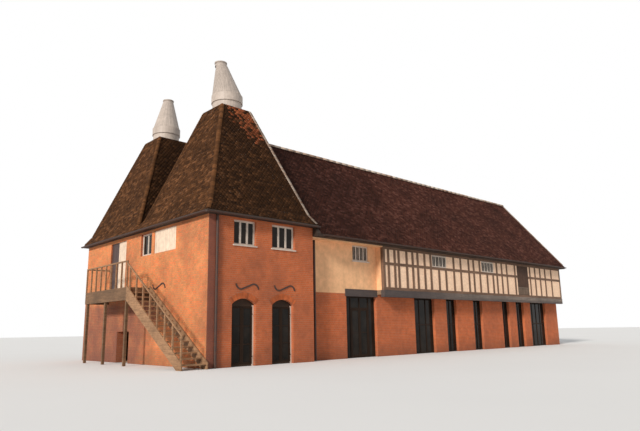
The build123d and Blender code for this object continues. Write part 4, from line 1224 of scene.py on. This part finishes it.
class OAST_OT_stage(bpy.types.Operator):
    """Sets the floor, the lights and the camera"""

    bl_idname = "oast.stage"
    bl_label = "Stage"

    def execute(self, context):
        self.floor()
        self.light(context.scene)
        self.camera(context.scene)
        context.scene.view_settings.view_transform = "Standard"
        return {"FINISHED"}

    def floor(self):
        """A wide pale disc just below the ground: rings at its middle and its rim."""
        g, where, shader = blank("floor")
        pale = g.blend(g.noise(where, 0.15, 3.0), (0.80, 0.79, 0.77), (0.84, 0.83, 0.81))
        g.finish(shader, pale, 0.9, g.noise(where, 8.0, 3.0), 0.001)
        turn = np.linspace(0, 2 * math.pi, 97)
        reach = np.array([[0.26], [260.0]])
        grid = surface(8.0 + reach * np.cos(turn), 2.0 + reach * np.sin(turn), -0.004)
        index = np.arange(2 * 97).reshape(2, 97)
        quads = np.stack([index[0, :-1], index[1, :-1], index[1, 1:], index[0, 1:]], axis=-1)
        floor = new_mesh("floor", grid.reshape(-1, 3), quads, "floor", True)

    def light(self, scene):
        """A soft pale studio that the camera sees as white, and one low sun from the left."""
        scene.world = bpy.data.worlds.new("studio")
        scene.world.use_nodes = True
        tree = scene.world.node_tree
        tree.nodes.clear()
        g = Graph(tree)
        rays = ("Is Camera Ray", "Is Glossy Ray", "Is Transmission Ray")
        direct, glossy, through = g.node("LightPath", {}, rays)
        soft = g.node("Background", {"Color": (0.93, 0.96, 1.0), "Strength": 0.47})
        white = g.node("Background", {"Color": (1.0, 1.0, 1.0), "Strength": 1.0})
        both = g.node("MixShader", {0: direct.larger(glossy.larger(through)), 1: soft, 2: white})
        g.feed(tree.nodes.new("ShaderNodeOutputWorld"), {0: both})

        lamp = bpy.data.lights.new("key", "SUN")
        lamp.energy = 3.3
        lamp.angle = math.radians(9)
        lamp.color = (1.0, 0.955, 0.90)
        key = bpy.data.objects.new("key", lamp)
        key.matrix_world = Vector((-0.88, -0.27, 0.42)).to_track_quat("Z", "Y").to_matrix().to_4x4()
        scene.collection.objects.link(key)

    def camera(self, scene):
        """The view of the photo, from a fit to the corners of the building."""
        camera = bpy.data.cameras.new("camera")
        camera.sensor_fit = "HORIZONTAL"
        camera.sensor_width = 36.0
        camera.lens = 566.031821 * 36.0 / 640.0
        camera.clip_end = 1000.0
        eye = bpy.data.objects.new("camera", camera)
        yaw, pitch, roll = 0.754251674, 0.198673998, -0.0169325733
        eye.matrix_world = Matrix.Translation((-13.1922623, -19.9215517, 1.25158377))
        for turn, axis in ((-yaw, "Z"), (math.pi / 2 + pitch, "X"), (roll, "Z")):
            eye.matrix_world @= Matrix.Rotation(turn, 4, axis)
        scene.collection.objects.link(eye)
        scene.camera = eye


class OAST_PT_panel(bpy.types.Panel):
    """Lists the steps and settings in the sidebar"""

    bl_idname = "OAST_PT_panel"
    bl_label = "Oast house"
    bl_space_type = "VIEW_3D"
    bl_region_type = "UI"
    bl_category = "Oast house"

    def draw(self, context):
        for step in STEPS:
            self.layout.operator(step.bl_idname)
        for settings in (context.scene.oast_sizes, context.scene.oast_colours):
            for name in settings.bl_rna.properties.keys():
                if name not in ("rna_type", "name"):
                    self.layout.prop(settings, name)


STEPS = (OAST_OT_materials, OAST_OT_stage, OAST_OT_kiln_tiles, OAST_OT_barn_tiles, OAST_OT_bricks,
         OAST_OT_arches, OAST_OT_sashes, OAST_OT_boards)


def register():
    """Registers the settings, the operators and the panel."""
    for item in (OastSizes, OastColours, *STEPS, OAST_PT_panel):
        bpy.utils.register_class(item)
    bpy.types.Scene.oast_sizes = PointerProperty(type=OastSizes)
    bpy.types.Scene.oast_colours = PointerProperty(type=OastColours)


def unregister():
    """Takes them away again."""
    del bpy.types.Scene.oast_colours
    del bpy.types.Scene.oast_sizes
    for item in (OAST_PT_panel, *reversed(STEPS), OastColours, OastSizes):
        bpy.utils.unregister_class(item)


def main():
    """Dresses the frame."""
    register()
    for step in STEPS:
        getattr(bpy.ops.oast, step.bl_idname.split(".")[1])()
    bpy.context.view_layer.update()


if __name__ == "__main__":
    main()
